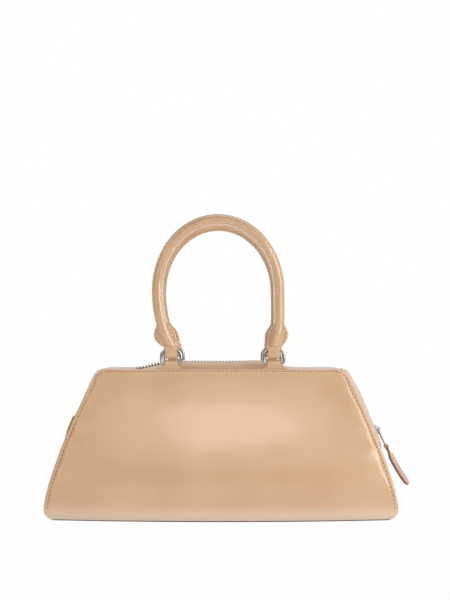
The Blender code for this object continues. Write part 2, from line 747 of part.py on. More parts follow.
def make_chape(name, place, side):
    half_seam, half_fold = CHAPE_SEAM_WIDTH / 2, CHAPE_FOLD_WIDTH / 2
    body = prism(chape_profile(place - half_seam, side), (CHAPE_SEAM_WIDTH, 0, 0), name)
    chape = add_object(name, body, "calf_leather")
    low, seam = BODY_HEIGHT - CHAPE_TAIL - CUT_OVERRUN, BODY_HEIGHT
    high = bar_height() + CUT_OVERRUN
    neck = seam + CHAPE_FLARE
    right = [(half_seam, low), (half_seam, seam)]
    for k in range(1, 5):
        t = k / 4
        right.append((half_fold + (half_seam - half_fold) * (1 - t) ** FLARE_POWER, seam + (neck - seam) * t))
    right.append((half_fold, high))
    outline = right + [(-x, z) for x, z in reversed(right)]
    depth = side * bar_depth()
    span = RING_WIRE + 2 * CHAPE_LEATHER + CUT_OVERRUN
    cutter = helper(prism([(place + x, depth - span, z) for x, z in outline], (0, 2 * span, 0), "flare"))
    apply_boolean(chape, cutter, "INTERSECT")
    ends = [(place + s * CHAPE_SEAM_WIDTH, depth, bar_height()) for s in (-1, 1)]
    bore = helper(tube(ends, 12, RING_WIRE / 2 + CLEAR, "bore", side_axis=Vector((0, 1, 0))))
    apply_boolean(chape, bore, "DIFFERENCE")
    chape.data.name = name
    return chape


def ring_path(place, side):
    """Centre line of a D-ring: straight bar, tight feet, upright sides and a broad arc."""
    half = (RING_WIDTH - RING_WIRE) / 2
    low, high = bar_height(), arc_height()
    depth = side * bar_depth()
    path = []
    for turn in (-90, -45, 0):
        a = math.radians(turn)
        path.append((half - RING_FOOT + RING_FOOT * math.cos(a), low + RING_FOOT + RING_FOOT * math.sin(a)))
    for turn in (0, 22.5, 45, 67.5, 90):
        a = math.radians(turn)
        path.append((half - RING_SHOULDER + RING_SHOULDER * math.cos(a),
                     high - RING_SHOULDER + RING_SHOULDER * math.sin(a)))
    path += [(-x, z) for x, z in reversed(path)]
    return [(place + x, depth, z) for x, z in path]


def make_ring(name, place, side, parent):
    mesh = tube(ring_path(place, side), 8, RING_WIRE / 2, name, closed=True)
    return add_object(name, mesh, "polished_steel", parent)


# Handles
GRIP_SIDES = 8


def handle_side_path(hand, samples):
    """Centre line from the ring up to the spring of the arch, and its top height."""
    foot_x = CHAPE_SHIFT + hand * CHAPE_SPACING / 2
    side_x = ARCH_SHIFT + hand * ARCH_HALF_WIDTH
    low = arc_height() + EYE_HEAD
    high = arc_height() + ARCH_SPRING_LIFT
    climb = high - low
    slope = hand * math.tan(TAB_SPLAY_LEFT_ANGLE if hand < 0 else TAB_SPLAY_RIGHT_ANGLE)
    points = []
    for t in samples:
        h00, h10, h01 = 2 * t ** 3 - 3 * t ** 2 + 1, t ** 3 - 2 * t ** 2 + t, 3 * t ** 2 - 2 * t ** 3
        points.append((h00 * foot_x + h10 * slope * climb + h01 * side_x, low + climb * t))
    return points


def tab_share():
    return TAB_LENGTH / (ARCH_SPRING_LIFT - EYE_HEAD)


def grip_line(extra):
    """Centre line of the rolled grip, from the left end tab over the arch to the right one."""
    start = tab_share() + extra / (ARCH_SPRING_LIFT - EYE_HEAD)
    samples = np.linspace(start, 1, 5)
    left = handle_side_path(-1, samples)
    right = handle_side_path(1, samples)
    top = arc_height() + ARCH_SPRING_LIFT
    arch = []
    for turn in np.linspace(180, 0, 17)[1:-1]:
        a = math.radians(turn)
        arch.append((ARCH_SHIFT + ARCH_HALF_WIDTH * math.cos(a), top + ARCH_RISE * math.sin(a)))
    return left + arch + right[::-1]


def make_grip(name, side, parent):
    """Rolled leather sleeve, open at both ends, over a cord core."""
    depth = side * bar_depth()
    line = [(x, depth, z) for x, z in grip_line(GRIP_SEAM_GAP)]
    bm = bmesh.new()
    outer, inner = (round_skin(bm, line, GRIP_SIDES, radius, False, Vector((0, 1, 0)))
                    for radius in (GRIP_DIAMETER / 2, GRIP_DIAMETER / 2 - GRIP_WALL))
    for end in (0, -1):
        band(bm, outer[end], inner[end])
    return add_object(name, finish_mesh(bm, name), "calf_leather", parent)


def make_grip_core(name, side, parent):
    depth = side * bar_depth()
    line = [(x, depth, z) for x, z in grip_line(GRIP_SEAM_GAP)]
    radius = (GRIP_DIAMETER / 2 - GRIP_WALL) * math.cos(math.pi / GRIP_SIDES) - CLEAR
    return add_object(name, tube(line, 6, radius, name), "cord", parent)


def eye_outline(grow, x, side, place_z):
    """Upright oval round the ring's arc, in the YZ plane."""
    depth = side * bar_depth()
    half, head, drop = EYE_HALF_WIDTH + grow, EYE_HEAD + grow, EYE_DROP - EYE_HALF_WIDTH
    points = []
    for turn in range(0, 181, 30):
        a = math.radians(turn)
        points.append((x, depth + half * math.cos(a), place_z + head * math.sin(a)))
    for turn in range(180, 361, 30):
        a = math.radians(turn)
        points.append((x, depth + half * math.cos(a), place_z - drop + half * math.sin(a)))
    return points


def make_tab(name, hand, side, parent):
    """Leaf-shaped end tab whose strap loop runs round the ring's arc."""
    depth = side * bar_depth()
    stations = [share for share, _ in TAB_WIDTH_SHARES]
    line = handle_side_path(hand, [tab_share() * s for s in stations])
    collar, loop = TAB_COLLAR_DIAMETER / 2, EYE_HALF_WIDTH + STRAP_WALL
    bm = bmesh.new()
    sides = 12
    rings = []
    for i, ((x, z), (share, wide)) in enumerate(zip(line, TAB_WIDTH_SHARES)):
        before, after = line[max(i - 1, 0)], line[min(i + 1, len(line) - 1)]
        dx, dz = after[0] - before[0], after[1] - before[1]
        tx, tz = (dz / math.hypot(dx, dz), -dx / math.hypot(dx, dz))
        width = TAB_WIDTH / 2 * wide
        thick = loop + (collar - loop) * share ** 2 - STRAP_WALL * math.sin(math.pi * share)
        ring = []
        for k in range(sides):
            a = 2 * math.pi * (k + 0.5) / sides
            power = 1 if share == 1 else TAB_EDGE_POWER
            cross = math.copysign(abs(math.cos(a)) ** (1 / power), math.cos(a)) * width
            out = math.sin(a) * abs(math.sin(a)) ** (power - 1) * thick
            ring.append((x + tx * cross, depth + out, z + tz * cross))
        rings.append([bm.verts.new(p) for p in ring])
    for a, b in zip(rings, rings[1:]):
        band(bm, a, b)
    bm.faces.new(rings[0])
    bm.faces.new(rings[-1])
    tab = add_object(name, finish_mesh(bm, name), "calf_leather")
    foot_x = CHAPE_SHIFT + hand * CHAPE_SPACING / 2
    left = foot_x - STRAP_WIDTH / 2
    outer = eye_outline(STRAP_WALL, left, side, arc_height())
    loop_body = helper(prism(outer, (STRAP_WIDTH, 0, 0), "loop"))
    apply_boolean(tab, loop_body, "UNION")
    hole = eye_outline(0, left - CUT_OVERRUN, side, arc_height())
    apply_boolean(tab, helper(prism(hole, (STRAP_WIDTH + 2 * CUT_OVERRUN, 0, 0), "eye")), "DIFFERENCE")
    tab.data.name = name
    hang(tab, parent)
    return tab


def make_handle_set(word, side):
    rings = joint_empty(f"{word}_ring_axis", (CHAPE_SHIFT, side * bar_depth(), bar_height()))
    swing = joint_empty(f"{word}_handle_axis", (CHAPE_SHIFT, side * bar_depth(), arc_height()))
    for hand, hand_word in ((-1, "left"), (1, "right")):
        place = CHAPE_SHIFT + hand * CHAPE_SPACING / 2
        make_chape(f"{word}_chape_{hand_word}", place, side)
        make_ring(f"{word}_d_ring_{hand_word}", place, side, rings)
        make_tab(f"{word}_handle_tab_{hand_word}", hand, side, swing)
    make_grip(f"{word}_handle_grip", side, swing)
    make_grip_core(f"{word}_handle_core", side, swing)


# Zip slider, its pull and the covers at the zip's ends
def zip_frame():
    """Foot point, direction up the side and outward normal of the zip's straight right run."""
    line = ridge_line(0)
    foot, head = line[-1], line[-SIDE_STATIONS]
    run = Vector((head[0] - foot[0], 0, head[1] - foot[1])).normalized()
    return Vector((foot[0], 0, foot[1])), run, Vector((run.z, 0, -run.x))


def zip_block(foot, run, out, start, end, low, high, width, name):
    """A straight block on the zip: from start to end along it, low to high above the teeth's foot."""
    corners = []
    for along, lift in ((start, low), (end, low), (end, high), (start, high)):
        corners.append(foot + run * along + out * lift + Vector((0, -width / 2, 0)))
    return prism(corners, (0, width, 0), name)


def make_slider():
    foot, run, out = zip_frame()
    base = -GUSSET_WALL - CLEAR - TAPE_WALL
    start = ZIP_END_MARGIN + ZIP_STOP_LENGTH + CLEAR
    end = start + SLIDER_LENGTH
    teeth_top = base + TEETH_HEIGHT + CLEAR
    lip_low = base + TAPE_WALL + CLEAR
    top = teeth_top + SLIDER_WING_WALL
    width = TEETH_WIDTH + 2 * CLEAR + 2 * SLIDER_LIP_WALL
    body = zip_block(foot, run, out, start, end, lip_low, top, width, "zip_slider")
    axis = joint_empty("zip_slider_axis", foot + run * start)
    slider = add_object("zip_slider", body, "polished_steel")
    channel = zip_block(foot, run, out, start - CUT_OVERRUN, end + CUT_OVERRUN, lip_low - CUT_OVERRUN,
                        teeth_top, TEETH_WIDTH + 2 * CLEAR, "channel")
    apply_boolean(slider, helper(channel), "DIFFERENCE")
    middle = (start + end) / 2
    crown, hollow = [], []
    half, rise = SLIDER_CROWN_LENGTH / 2, CROWN_HOLE + SLIDER_CROWN_WALL
    for turn in range(0, 181, 20):
        a = math.radians(turn)
        place = foot + run * (middle + half * math.cos(a)) + out * (top - CLEAR + rise * math.sin(a))
        crown.append(place + Vector((0, -SLIDER_CROWN_WIDTH / 2, 0)))
        inner = half - SLIDER_CROWN_WALL
        place = foot + run * (middle + inner * math.cos(a)) + out * (top + CROWN_HOLE * math.sin(a))
        hollow.append(place + Vector((0, -SLIDER_CROWN_WIDTH, 0)))
    apply_boolean(slider, helper(prism(crown, (0, SLIDER_CROWN_WIDTH, 0), "crown")), "UNION")
    apply_boolean(slider, helper(prism(hollow, (0, 2 * SLIDER_CROWN_WIDTH, 0), "hollow")), "DIFFERENCE")
    slider.data.name = "zip_slider"
    hang(slider, axis)
    wing = zip_block(foot, run, out, start, end, base - CLEAR - SLIDER_WING_WALL, base - CLEAR, width,
                     "zip_slider_wing")
    add_object("zip_slider_wing", wing, "polished_steel", axis)
    stop = zip_block(foot, run, out, ZIP_END_MARGIN, ZIP_END_MARGIN + ZIP_STOP_LENGTH - CLEAR, base,
                     base + TEETH_HEIGHT, TEETH_WIDTH, "zip_end_stop")
    add_object("zip_end_stop", stop, "polished_steel")
    return foot + run * middle + out * (top + CROWN_HOLE / 2)


def rounded_loop(origin, along, across, length, width, corner):
    """Centre line of a wire rectangle with round corners. Its near bar lies at the origin."""
    corners = ((length - corner, width / 2 - corner, 0), (length - corner, corner - width / 2, 90),
               (corner, corner - width / 2, 180), (corner, width / 2 - corner, 270))
    path = []
    for centre_along, centre_across, first in corners:
        for turn in (0, 30, 60, 90):
            a = math.radians(first + turn)
            place = origin + along * (centre_along + corner * math.sin(a))
            path.append(place + across * (centre_across + corner * math.cos(a)))
    return path


def make_pull(pivot):
    """Wire link in the slider's crown, and a folded leather pull on the link."""
    side = Vector((0, 1, 0))
    lean = Vector((math.sin(LINK_LEAN_ANGLE), 0, -math.cos(LINK_LEAN_ANGLE)))
    link_axis = joint_empty("zip_link_axis", pivot)
    run = LINK_LENGTH - LINK_WIRE
    path = rounded_loop(pivot, lean, side, run, LINK_WIDTH - LINK_WIRE, LINK_CORNER)
    plane = lean.cross(side).normalized()
    link = tube(path, 8, LINK_WIRE / 2, "zip_link", closed=True, side_axis=plane)
    add_object("zip_link", link, "polished_steel", link_axis)
    pin = pivot + lean * run
    pull_axis = joint_empty("zip_pull_axis", pin)
    down = Vector((math.sin(PULL_LEAN_ANGLE), 0, -math.cos(PULL_LEAN_ANGLE)))
    across = Vector((down.z, 0, -down.x))
    head = LINK_WIRE / 2 + CLEAR + PULL_LEATHER
    outline = []
    for turn in range(0, 181, 20):
        a = math.radians(turn)
        outline.append(pin + across * head * math.cos(a) - down * head * math.sin(a))
    neck = down * head * PULL_NECK_SHARE
    tail = pin + down * (PULL_LENGTH - head)
    outline += [pin - across * PULL_LEATHER + neck, tail - across * PULL_LEATHER]
    outline += [tail + across * PULL_LEATHER, pin + across * PULL_LEATHER + neck]
    shift = Vector((0, -PULL_WIDTH / 2, 0))
    body = prism([p + shift for p in outline], (0, PULL_WIDTH, 0), "zip_pull")
    pull = add_object("zip_pull", body, "calf_leather")
    half, slim = PULL_WIDTH / 2 + CLEAR, PULL_NECK_WIDTH / 2
    edge = [(-head - CUT_OVERRUN, slim), (PULL_NECK_LENGTH, slim), (PULL_NECK_LENGTH + PULL_FLARE, half)]
    edge += [(PULL_LENGTH - head - PULL_POINT, half), (PULL_LENGTH - head + CUT_OVERRUN, 0)]
    edge += [(along, -y) for along, y in reversed(edge[:-1])]
    span = head + CUT_OVERRUN
    shape = [pin + down * along + side * y - across * span for along, y in edge]
    apply_boolean(pull, helper(prism(shape, across * 2 * span, "shape")), "INTERSECT")
    bore = tube([pin - side * PULL_WIDTH, pin + side * PULL_WIDTH], 12, LINK_WIRE / 2 + CLEAR, "bore",
                side_axis=across.normalized())
    apply_boolean(pull, helper(bore), "DIFFERENCE")
    pull.data.name = "zip_pull"
    hang(pull, pull_axis)


def make_end_cover():
    """Small leather cover sewn over the zip's blind end, on the left."""
    points = edge_stations(ZIP_END_HEIGHT, zip_shoulder())
    foot, head = Vector(points[0]), Vector(points[SIDE_STATIONS - 1])
    rows = []
    for share in END_COVER_LENGTH_SHARES:
        z = ZIP_END_HEIGHT + CLEAR + END_COVER_LENGTH * share
        x = -half_length(z)
        way = (head - foot).normalized()
        nx, nz = -way.y, way.x
        row = []
        for y_share in END_COVER_WIDTH_SHARES:
            y = y_share * END_COVER_WIDTH / 2 * math.sqrt(1 - (END_COVER_TAPER_SHARE * share) ** 2)
            lift = crown_lift(x, z, y) + CLEAR + END_COVER_WALL
            row.append((x + nx * lift, y, z + nz * lift))
        rows.append(row)
    mesh = sheet(np.array(rows), END_COVER_WALL, False, "zip_end_cover")
    return add_object("zip_end_cover", mesh, "calf_leather")


def main():
    clear_scene()
    make_panel("front_panel", -1)
    make_panel("rear_panel", 1)
    make_base_panel()
    make_base_board()
    make_gusset_strip("front_gusset_strip", -1)
    make_gusset_strip("rear_gusset_strip", 1)
    make_side_gusset("left_side_gusset", -1)
    make_side_gusset("right_side_gusset", 1)
    make_tape("front_zip_tape", -1)
    make_tape("rear_zip_tape", 1)
    make_teeth()
    make_lining("front_lining", -1)
    make_lining("rear_lining", 1)
    make_handle_set("front", -1)
    make_handle_set("rear", 1)
    make_end_cover()
    make_pull(make_slider())


main()
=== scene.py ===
"""Visible pieces of a structured leather handbag, laid out as an add-on and run as a script."""
import json
import math

import bmesh
import bpy
import numpy as np
from bpy.props import FloatProperty, FloatVectorProperty, PointerProperty
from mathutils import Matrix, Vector


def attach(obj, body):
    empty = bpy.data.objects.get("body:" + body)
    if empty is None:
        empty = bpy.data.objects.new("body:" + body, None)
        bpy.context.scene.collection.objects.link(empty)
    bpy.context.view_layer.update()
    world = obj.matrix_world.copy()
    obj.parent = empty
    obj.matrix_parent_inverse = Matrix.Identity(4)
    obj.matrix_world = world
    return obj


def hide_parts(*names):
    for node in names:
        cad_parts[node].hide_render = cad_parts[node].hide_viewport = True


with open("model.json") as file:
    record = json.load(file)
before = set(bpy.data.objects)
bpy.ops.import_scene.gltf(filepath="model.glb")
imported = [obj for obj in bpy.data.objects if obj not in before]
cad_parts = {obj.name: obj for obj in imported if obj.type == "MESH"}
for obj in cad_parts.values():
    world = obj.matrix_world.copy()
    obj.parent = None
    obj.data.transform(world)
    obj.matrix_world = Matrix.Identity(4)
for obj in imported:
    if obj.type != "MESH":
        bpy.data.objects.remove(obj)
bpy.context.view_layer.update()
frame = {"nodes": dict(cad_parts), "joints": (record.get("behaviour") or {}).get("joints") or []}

bl_info = {
    "name": "Leather handbag",
    "version": (1, 0, 0),
    "blender": (4, 5, 0),
    "location": "3D View > Sidebar > Handbag",
    "description": "Builds the visible pieces of a structured leather handbag",
    "category": "Mesh",
}

SIDE_WORDS = ((-1, "front"), (1, "rear"))
HAND_WORDS = ((-1, "left"), (1, "right"))
SIDE_AXIS = Vector((0, 1, 0))


def linear(code):
    """An sRGB hex colour as linear red, green and blue."""
    out = []
    for k in (0, 2, 4):
        c = int(code[k:k + 2], 16) / 255
        out.append(c / 12.92 if c <= 0.04045 else ((c + 0.055) / 1.055) ** 2.4)
    return tuple(out)


def length_prop(name, description, default):
    return FloatProperty(name=name, description=description, default=default, min=0.0, subtype="DISTANCE",
                         unit="LENGTH")


def colour_prop(name, description, code):
    return FloatVectorProperty(name=name, description=description, default=linear(code), size=3, min=0.0,
                               max=1.0, subtype="COLOR")


class BagSizes(bpy.types.PropertyGroup):
    """Sizes of the bag's body and of what is sewn on it."""
    body_height: length_prop("Body height", "Height of the panels above the surface the bag stands on", 0.152)
    top_half: length_prop("Top half length", "Half length of the panels at their top", 0.1227)
    base_half: length_prop("Base half length", "Half length of the panels at their foot", 0.1773)
    corner_radius: length_prop("Corner radius", "Radius of the panels' top corners", 0.014)
    under_radius: length_prop("Under radius", "Radius where the panels curl under the base", 0.012)
    top_depth: length_prop("Top half depth", "Half depth at the top seam", 0.050)
    base_depth: length_prop("Base half depth", "Half depth at the foot of the side seams", 0.052)
    belly: length_prop("Belly", "How far each panel bulges past its side seams", 0.018)
    panel_wall: length_prop("Panel leather", "Thickness of the panels", 0.0018)
    gusset_wall: length_prop("Gusset leather", "Thickness of the gussets", 0.0014)
    stitch_pitch: length_prop("Stitch pitch", "Distance from stitch to stitch", 0.0042)
    stitch_inset: length_prop("Stitch inset", "Distance of the stitches from a leather edge", 0.0033)
    thread: length_prop("Thread", "Diameter of the sewing thread", 0.0007)


class BagHardware(bpy.types.PropertyGroup):
    """Sizes of the handles, rings and zip."""
    grip: length_prop("Grip diameter", "Diameter of the rolled handle", 0.0112)
    strap: length_prop("Strap width", "Width of the strap that goes round the ring", 0.0125)
    wire: length_prop("Ring wire", "Diameter of the ring's wire", 0.0032)
    ring_width: length_prop("Ring width", "Outer width of the ring", 0.0230)
    ring_height: length_prop("Ring height", "Outer height of the ring", 0.0180)
    tooth_pitch: length_prop("Tooth pitch", "Distance between teeth on one side of the zip", 0.0032)
    slot: length_prop("Zip slot", "Gap between the two gusset strips", 0.0100)
    teeth_width: length_prop("Chain width", "Width of the closed zip chain", 0.0052)


class BagColours(bpy.types.PropertyGroup):
    """Colours of the bag's materials."""
    leather: colour_prop("Leather", "Glazed calf leather", "d6b08a")
    leather_deep: colour_prop("Leather, deep tone", "Where the dye has gone deeper", "cba27b")
    # the zip pull's leather is painted darker than the bag's: painted shade
    pull_leather_shade: colour_prop("Pull leather", "Leather of the zip pull, darker with painted shade", "c9a083")
    edge: colour_prop("Edge paint", "Painted cut edges of the leather", "b98a66")
    # the grip seam's light cream is a painted highlight on the turned edge of the rolled grips
    edge_light: colour_prop("Grip seam highlight", "Painted highlight on the turned edge along the rolled grips", "f2d6b6")
    edge_dark: colour_prop("Dark edge paint", "Painted edges of the handle tabs", "7d5540")
    # foot: painted contact shade on the panels' underside by the floor, where the base seam also lies
    foot: colour_prop("Foot shade", "Painted contact shade on the panels' underside by the floor", "6e4630")
    thread: colour_prop("Thread", "Waxed sewing thread", "8a6147")
    metal: colour_prop("Hardware", "Polished nickel plate", "b9b8b6")
    tape: colour_prop("Zip tape", "Woven tape of the zip", "8d6c52")
    lining: colour_prop("Lining", "Cotton lining", "8a6f58")
    board: colour_prop("Board", "Pressed fibre board", "6f5b48")
    cord: colour_prop("Cord", "Cotton cord inside the handles", "d8cfb8")


# Form of the bag, in metres where it isn't a share or an angle; it follows the solids
CLEAR = 0.0003          # gap between pieces that lie on each other
# the panels
SIDE_SWELL = 1.39       # power of the side edges' bend
BELLY_HEIGHT = 0.84     # share of the way down at which the belly is full
BELLY_BASE = 0.90       # share of the belly that is left at the foot
TOP_INSET = 0.58        # share of the stitches' inset along the top
INSET_RUN = (0.004, 0.016)
# the gusset and the zip's line over it
FLANGE = 0.008
BEND = 0.003
ZIP_END = 0.078
ZIP_SHOULDER = 0.138
PROUD_RIGHT = 0.0078
PROUD_LEFT = 0.0040
PROUD_TOP = 0.0006
END_SETTLE = 0.0026
END_PROUD = 0.0016
CORNER_HASTE = 1.35     # how early the line leaves the side at the corner
CORNER_FALL = 0.0020
CORNER_FOOT = 0.123
SWELL = 0.0074
SWELL_CENTRE = -0.0075
SWELL_REACH = 0.087
DENT = 0.0055           # of the side gussets
SAGS = ((-0.091, -0.054, 0.0026), (-0.046, 0.030, 0.0010))     # from, to, depth
SAG_RUN = 0.008
# the cloth
TAPE_WALL = 0.0007
TAPE_DROOP = 0.0005
# the chapes
CHAPE_SPACING = 0.1032
CHAPE_SHIFT = 0.0016
CHAPE_LEATHER = 0.0014
CHAPE_TAIL = 0.0062
CHAPE_SEAM = 0.0270
CHAPE_FOLD = 0.0125
CHAPE_FLARE = 0.0060
BAR_LIFT = 0.0062
# the handles
EYE_HALF = 0.0033
EYE_HEAD = 0.0021
EYE_DROP = 0.0088
STRAP_WALL = 0.0015
ARCH_HALF = 0.0610
ARCH_RISE = 0.0707
ARCH_LIFT = 0.0586
ARCH_SHIFT = -0.0030
TAB_LENGTH = 0.0230
TAB_SHARE = TAB_LENGTH / (ARCH_LIFT - EYE_HEAD)     # of the handle's leg
TAB_SPLAYS = (math.tan(math.radians(29)), math.tan(math.radians(20)))   # left, right
GRIP_TUCK = 0.0015
# the link and the pull
LINK_WIRE = 0.0018
LINK_WIDTH = 0.0104
LINK_CORNER = 0.0016
LINK_LENGTH = 0.0215
PULL_LEAN = math.radians(30)
PULL_LENGTH = 0.0490
PULL_WIDTH = 0.0115
PULL_NECK = 0.0052
PULL_LEATHER = 0.0013


def smooth_step(t):
    t = np.clip(t, 0, 1)
    return t * t * (3 - 2 * t)


class BagForm:
    """Outline and surfaces of the bag, worked out from the sizes in the sidebar."""

    def __init__(self, context):
        self.s = s = context.scene.bag_sizes
        self.h = context.scene.bag_hardware
        slope = (s.base_half - s.top_half) / (s.body_height - s.under_radius) * SIDE_SWELL
        self.lean = math.atan(slope)
        reach = s.corner_radius * math.tan((math.pi / 2 - self.lean) / 2)
        self.centre_x = s.top_half - reach
        self.centre_z = s.body_height - s.corner_radius
        self.tangent_z = s.body_height - reach * math.cos(self.lean)
        self.bar_y = s.top_depth - s.panel_wall - CLEAR - CHAPE_LEATHER
        self.bar_z = s.body_height + BAR_LIFT
        self.arc_z = self.bar_z + self.h.ring_height - self.h.wire
        self.chapes = [CHAPE_SHIFT + hand * CHAPE_SPACING / 2 for hand in (-1, 1)]
        self.edge_points, self.edge_run = self.outline()

    def half_length(self, z):
        s = self.s
        z = np.asarray(z, float)
        drop = s.under_radius - np.clip(z, 0, s.under_radius)
        under = s.base_half - s.under_radius + np.sqrt(np.maximum(s.under_radius ** 2 - drop ** 2, 0))
        rise = np.minimum(z - self.centre_z, s.corner_radius)
        top = self.centre_x + np.sqrt(np.maximum(s.corner_radius ** 2 - rise ** 2, 0))
        share = np.clip((z - s.under_radius) / (s.body_height - s.under_radius), 0, 1)
        side = s.base_half - (s.base_half - s.top_half) * share ** SIDE_SWELL
        return np.where(z < s.under_radius, under, np.where(z > self.tangent_z, top, side))

    def edge_depth(self, z):
        s = self.s
        z = np.asarray(z, float)
        share = np.clip((s.body_height - z) / (s.body_height - s.under_radius), 0, 1)
        depth = s.top_depth + (s.base_depth - s.top_depth) * share
        drop = s.under_radius - np.clip(z, 0, s.under_radius)
        return depth + np.sqrt(np.maximum(s.under_radius ** 2 - drop ** 2, 0)) - s.under_radius

    def belly(self, x, z):
        s = self.s
        z = np.clip(z, s.under_radius, s.body_height)
        share = (s.body_height - z) / (s.body_height - s.under_radius)
        past = (share - BELLY_HEIGHT) / (1 - BELLY_HEIGHT)
        down = np.where(share < BELLY_HEIGHT, np.sin(math.pi / 2 * share / BELLY_HEIGHT) ** 2,
                        1 - (1 - BELLY_BASE) * past ** 2)
        across = np.maximum(1 - (np.asarray(x) / self.half_length(z)) ** 2, 0)
        return s.belly * across * down

    def face_depth(self, x, z):
        z = np.maximum(z, self.s.under_radius)
        return self.edge_depth(z) + self.belly(x, z)

    def outline(self, step=0.002):
        """The panel's sewn edge from the lower left over the top to the lower right, and its run."""
        s = self.s
        z = np.linspace(s.under_radius, self.tangent_z, 60)
        side = np.stack([self.half_length(z), z], 1)
        turn = np.linspace(self.lean, math.pi / 2, 14)[1:]
        arc = np.stack([self.centre_x + s.corner_radius * np.cos(turn),
                        self.centre_z + s.corner_radius * np.sin(turn)], 1)
        right = np.concatenate([side, arc])
        points = np.concatenate([right * (-1, 1), right[::-1]])
        return self.resample(points, step)

    @staticmethod
    def resample(points, step):
        run = np.concatenate([[0], np.cumsum(np.linalg.norm(np.diff(points, axis=0), axis=1))])
        at = np.linspace(0, run[-1], max(int(run[-1] / step), 2) + 1)
        return np.stack([np.interp(at, run, points[:, k]) for k in range(points.shape[1])], 1), at

    def inset(self, z):
        """Distance of the panel's stitches from its sewn edge: less along the top."""
        low = smooth_step((self.s.body_height - z - INSET_RUN[0]) / INSET_RUN[1])
        return self.s.stitch_inset * (TOP_INSET + (1 - TOP_INSET) * low)

    def sag(self, x):
        """How far the strips beside the zip have sunk below its teeth."""
        x = np.asarray(x, float)
        total = np.zeros_like(x)
        for start, end, depth in SAGS:
            total = total + depth * smooth_step((x - start) / SAG_RUN) * smooth_step((end - x) / SAG_RUN)
        return total

    def under_turn(self, steps):
        """Inset and height of the steps of the quarter turn under the base."""
        turns = (math.pi / 2 * k / steps for k in range(1, steps + 1))
        return [(self.s.under_radius * (1 - math.cos(a)), self.s.under_radius * (1 - math.sin(a))) for a in turns]

    def edge_distance(self, x, z):
        """Distance from the sewn edge, and the place along it, of points of the panel."""
        flat = np.stack([np.ravel(x), np.maximum(np.ravel(z), self.s.under_radius)], 1)
        gap = np.linalg.norm(flat[:, None] - self.edge_points[None], axis=2)
        near = gap.argmin(1)
        return gap.min(1).reshape(np.shape(x)), self.edge_run[near].reshape(np.shape(x))

    def zip_proud(self, x, z):
        """How far the zip's line stands out from the sewn edges."""
        x, z = np.asarray(x, float), np.asarray(z, float)
        base = np.where(x > 0, PROUD_RIGHT, PROUD_LEFT)
        foot, head = self.half_length(ZIP_END), self.half_length(ZIP_SHOULDER)
        chord = foot + (head - foot) * (z - ZIP_END) / (ZIP_SHOULDER - ZIP_END)
        lean = np.arctan((foot - head) / (ZIP_SHOULDER - ZIP_END))
        low = base - (self.half_length(z) - chord) * np.cos(lean)
        low = low - END_SETTLE * (1 - (z - ZIP_END) / (ZIP_SHOULDER - ZIP_END))
        climb = (z - CORNER_FOOT) / (ZIP_SHOULDER + 0.004 - CORNER_FOOT)
        fall = np.where(x > 0, CORNER_FALL, 0) * smooth_step(climb)
        low, base = low - fall, base - fall
        top = PROUD_TOP + SWELL * smooth_step(2 * (1 - np.abs(x - SWELL_CENTRE) / SWELL_REACH))
        turn = np.arctan2(z - self.centre_z, np.maximum(np.abs(x) - self.centre_x, 0))
        turn = (turn - self.lean) / (math.pi / 2 - self.lean)
        return np.where(z <= ZIP_SHOULDER, low, base + (top - base) * smooth_step(turn * CORNER_HASTE))

    def notch(self, x, z):
        """The flange steps back behind each chape."""
        flat = CHAPE_SEAM / 2 + CLEAR
        away = np.min([np.abs(x - place) for place in self.chapes], axis=0)
        step = (2 * CHAPE_LEATHER + CLEAR) * (1 - smooth_step((away - flat) / BEND))
        return np.where(np.asarray(z) < self.s.body_height - CLEAR, 0, step)

    def zip_stations(self, step=0.0022):
        """Edge line between the zip's two ends, with its outward ways."""
        points = self.edge_points[self.edge_points[:, 1] >= ZIP_END]
        first = np.array([[-float(self.half_length(ZIP_END)), ZIP_END]])
        points = np.concatenate([first, points, first * (-1, 1)])
        points, _ = self.resample(points, step)
        points[0], points[-1] = first[0], first[0] * (-1, 1)
        return points, ways(points)

    def crown_start(self, x, z):
        return self.edge_depth(z) - self.s.panel_wall - CLEAR - self.notch(x, z) - BEND

    def crown_lift(self, x, z, y):
        """Height of the gusset's outer face over the sewn edges, y from the middle plane."""
        proud = self.zip_proud(x, z) - self.sag(x)
        return proud * (1 - (np.abs(y) / self.crown_start(x, z)) ** 2)

    def ridge(self, lift, step=0.0022):
        points, out = self.zip_stations(step)
        x, z = points.T
        rise = self.crown_lift(x, z, self.h.slot / 2) + self.sag(x) + lift
        return points + out * rise[:, None], out

    def side_line(self, hand):
        """Centre line of a handle's leg, from the ring to the spring of the arch, as a function."""
        foot, top = self.chapes[0 if hand < 0 else 1], ARCH_SHIFT + hand * ARCH_HALF
        low, high = self.arc_z + EYE_HEAD, self.arc_z + ARCH_LIFT
        climb, splay = high - low, TAB_SPLAYS[0 if hand < 0 else 1]

        def at(t):
            t = np.asarray(t, float)
            x = (2 * t ** 3 - 3 * t ** 2 + 1) * foot + (t ** 3 - 2 * t ** 2 + t) * hand * splay * climb
            return np.stack([x + (3 * t ** 2 - 2 * t ** 3) * top, low + climb * t], -1)
        return at

    def grip_line(self):
        start = (TAB_LENGTH - GRIP_TUCK) / (ARCH_LIFT - EYE_HEAD)
        legs = [self.side_line(hand)(np.linspace(start, 1, 16)) for hand in (-1, 1)]
        turn = np.linspace(math.pi, 0, 58)[1:-1]
        arch = np.stack([ARCH_SHIFT + ARCH_HALF * np.cos(turn),
                         self.arc_z + ARCH_LIFT + ARCH_RISE * np.sin(turn)], 1)
        return np.concatenate([legs[0], arch, legs[1][::-1]])


def ways(points):
    """Unit ways square to a line in the XZ plane, on its left as it runs."""
    step = np.gradient(points, axis=0)
    step /= np.linalg.norm(step, axis=1, keepdims=True)
    return np.stack([-step[:, 1], step[:, 0]], 1)


def grid_normals(points):
    normal = np.cross(np.gradient(points, axis=0), np.gradient(points, axis=1))
    return normal / np.maximum(np.linalg.norm(normal, axis=2, keepdims=True), 1e-12)


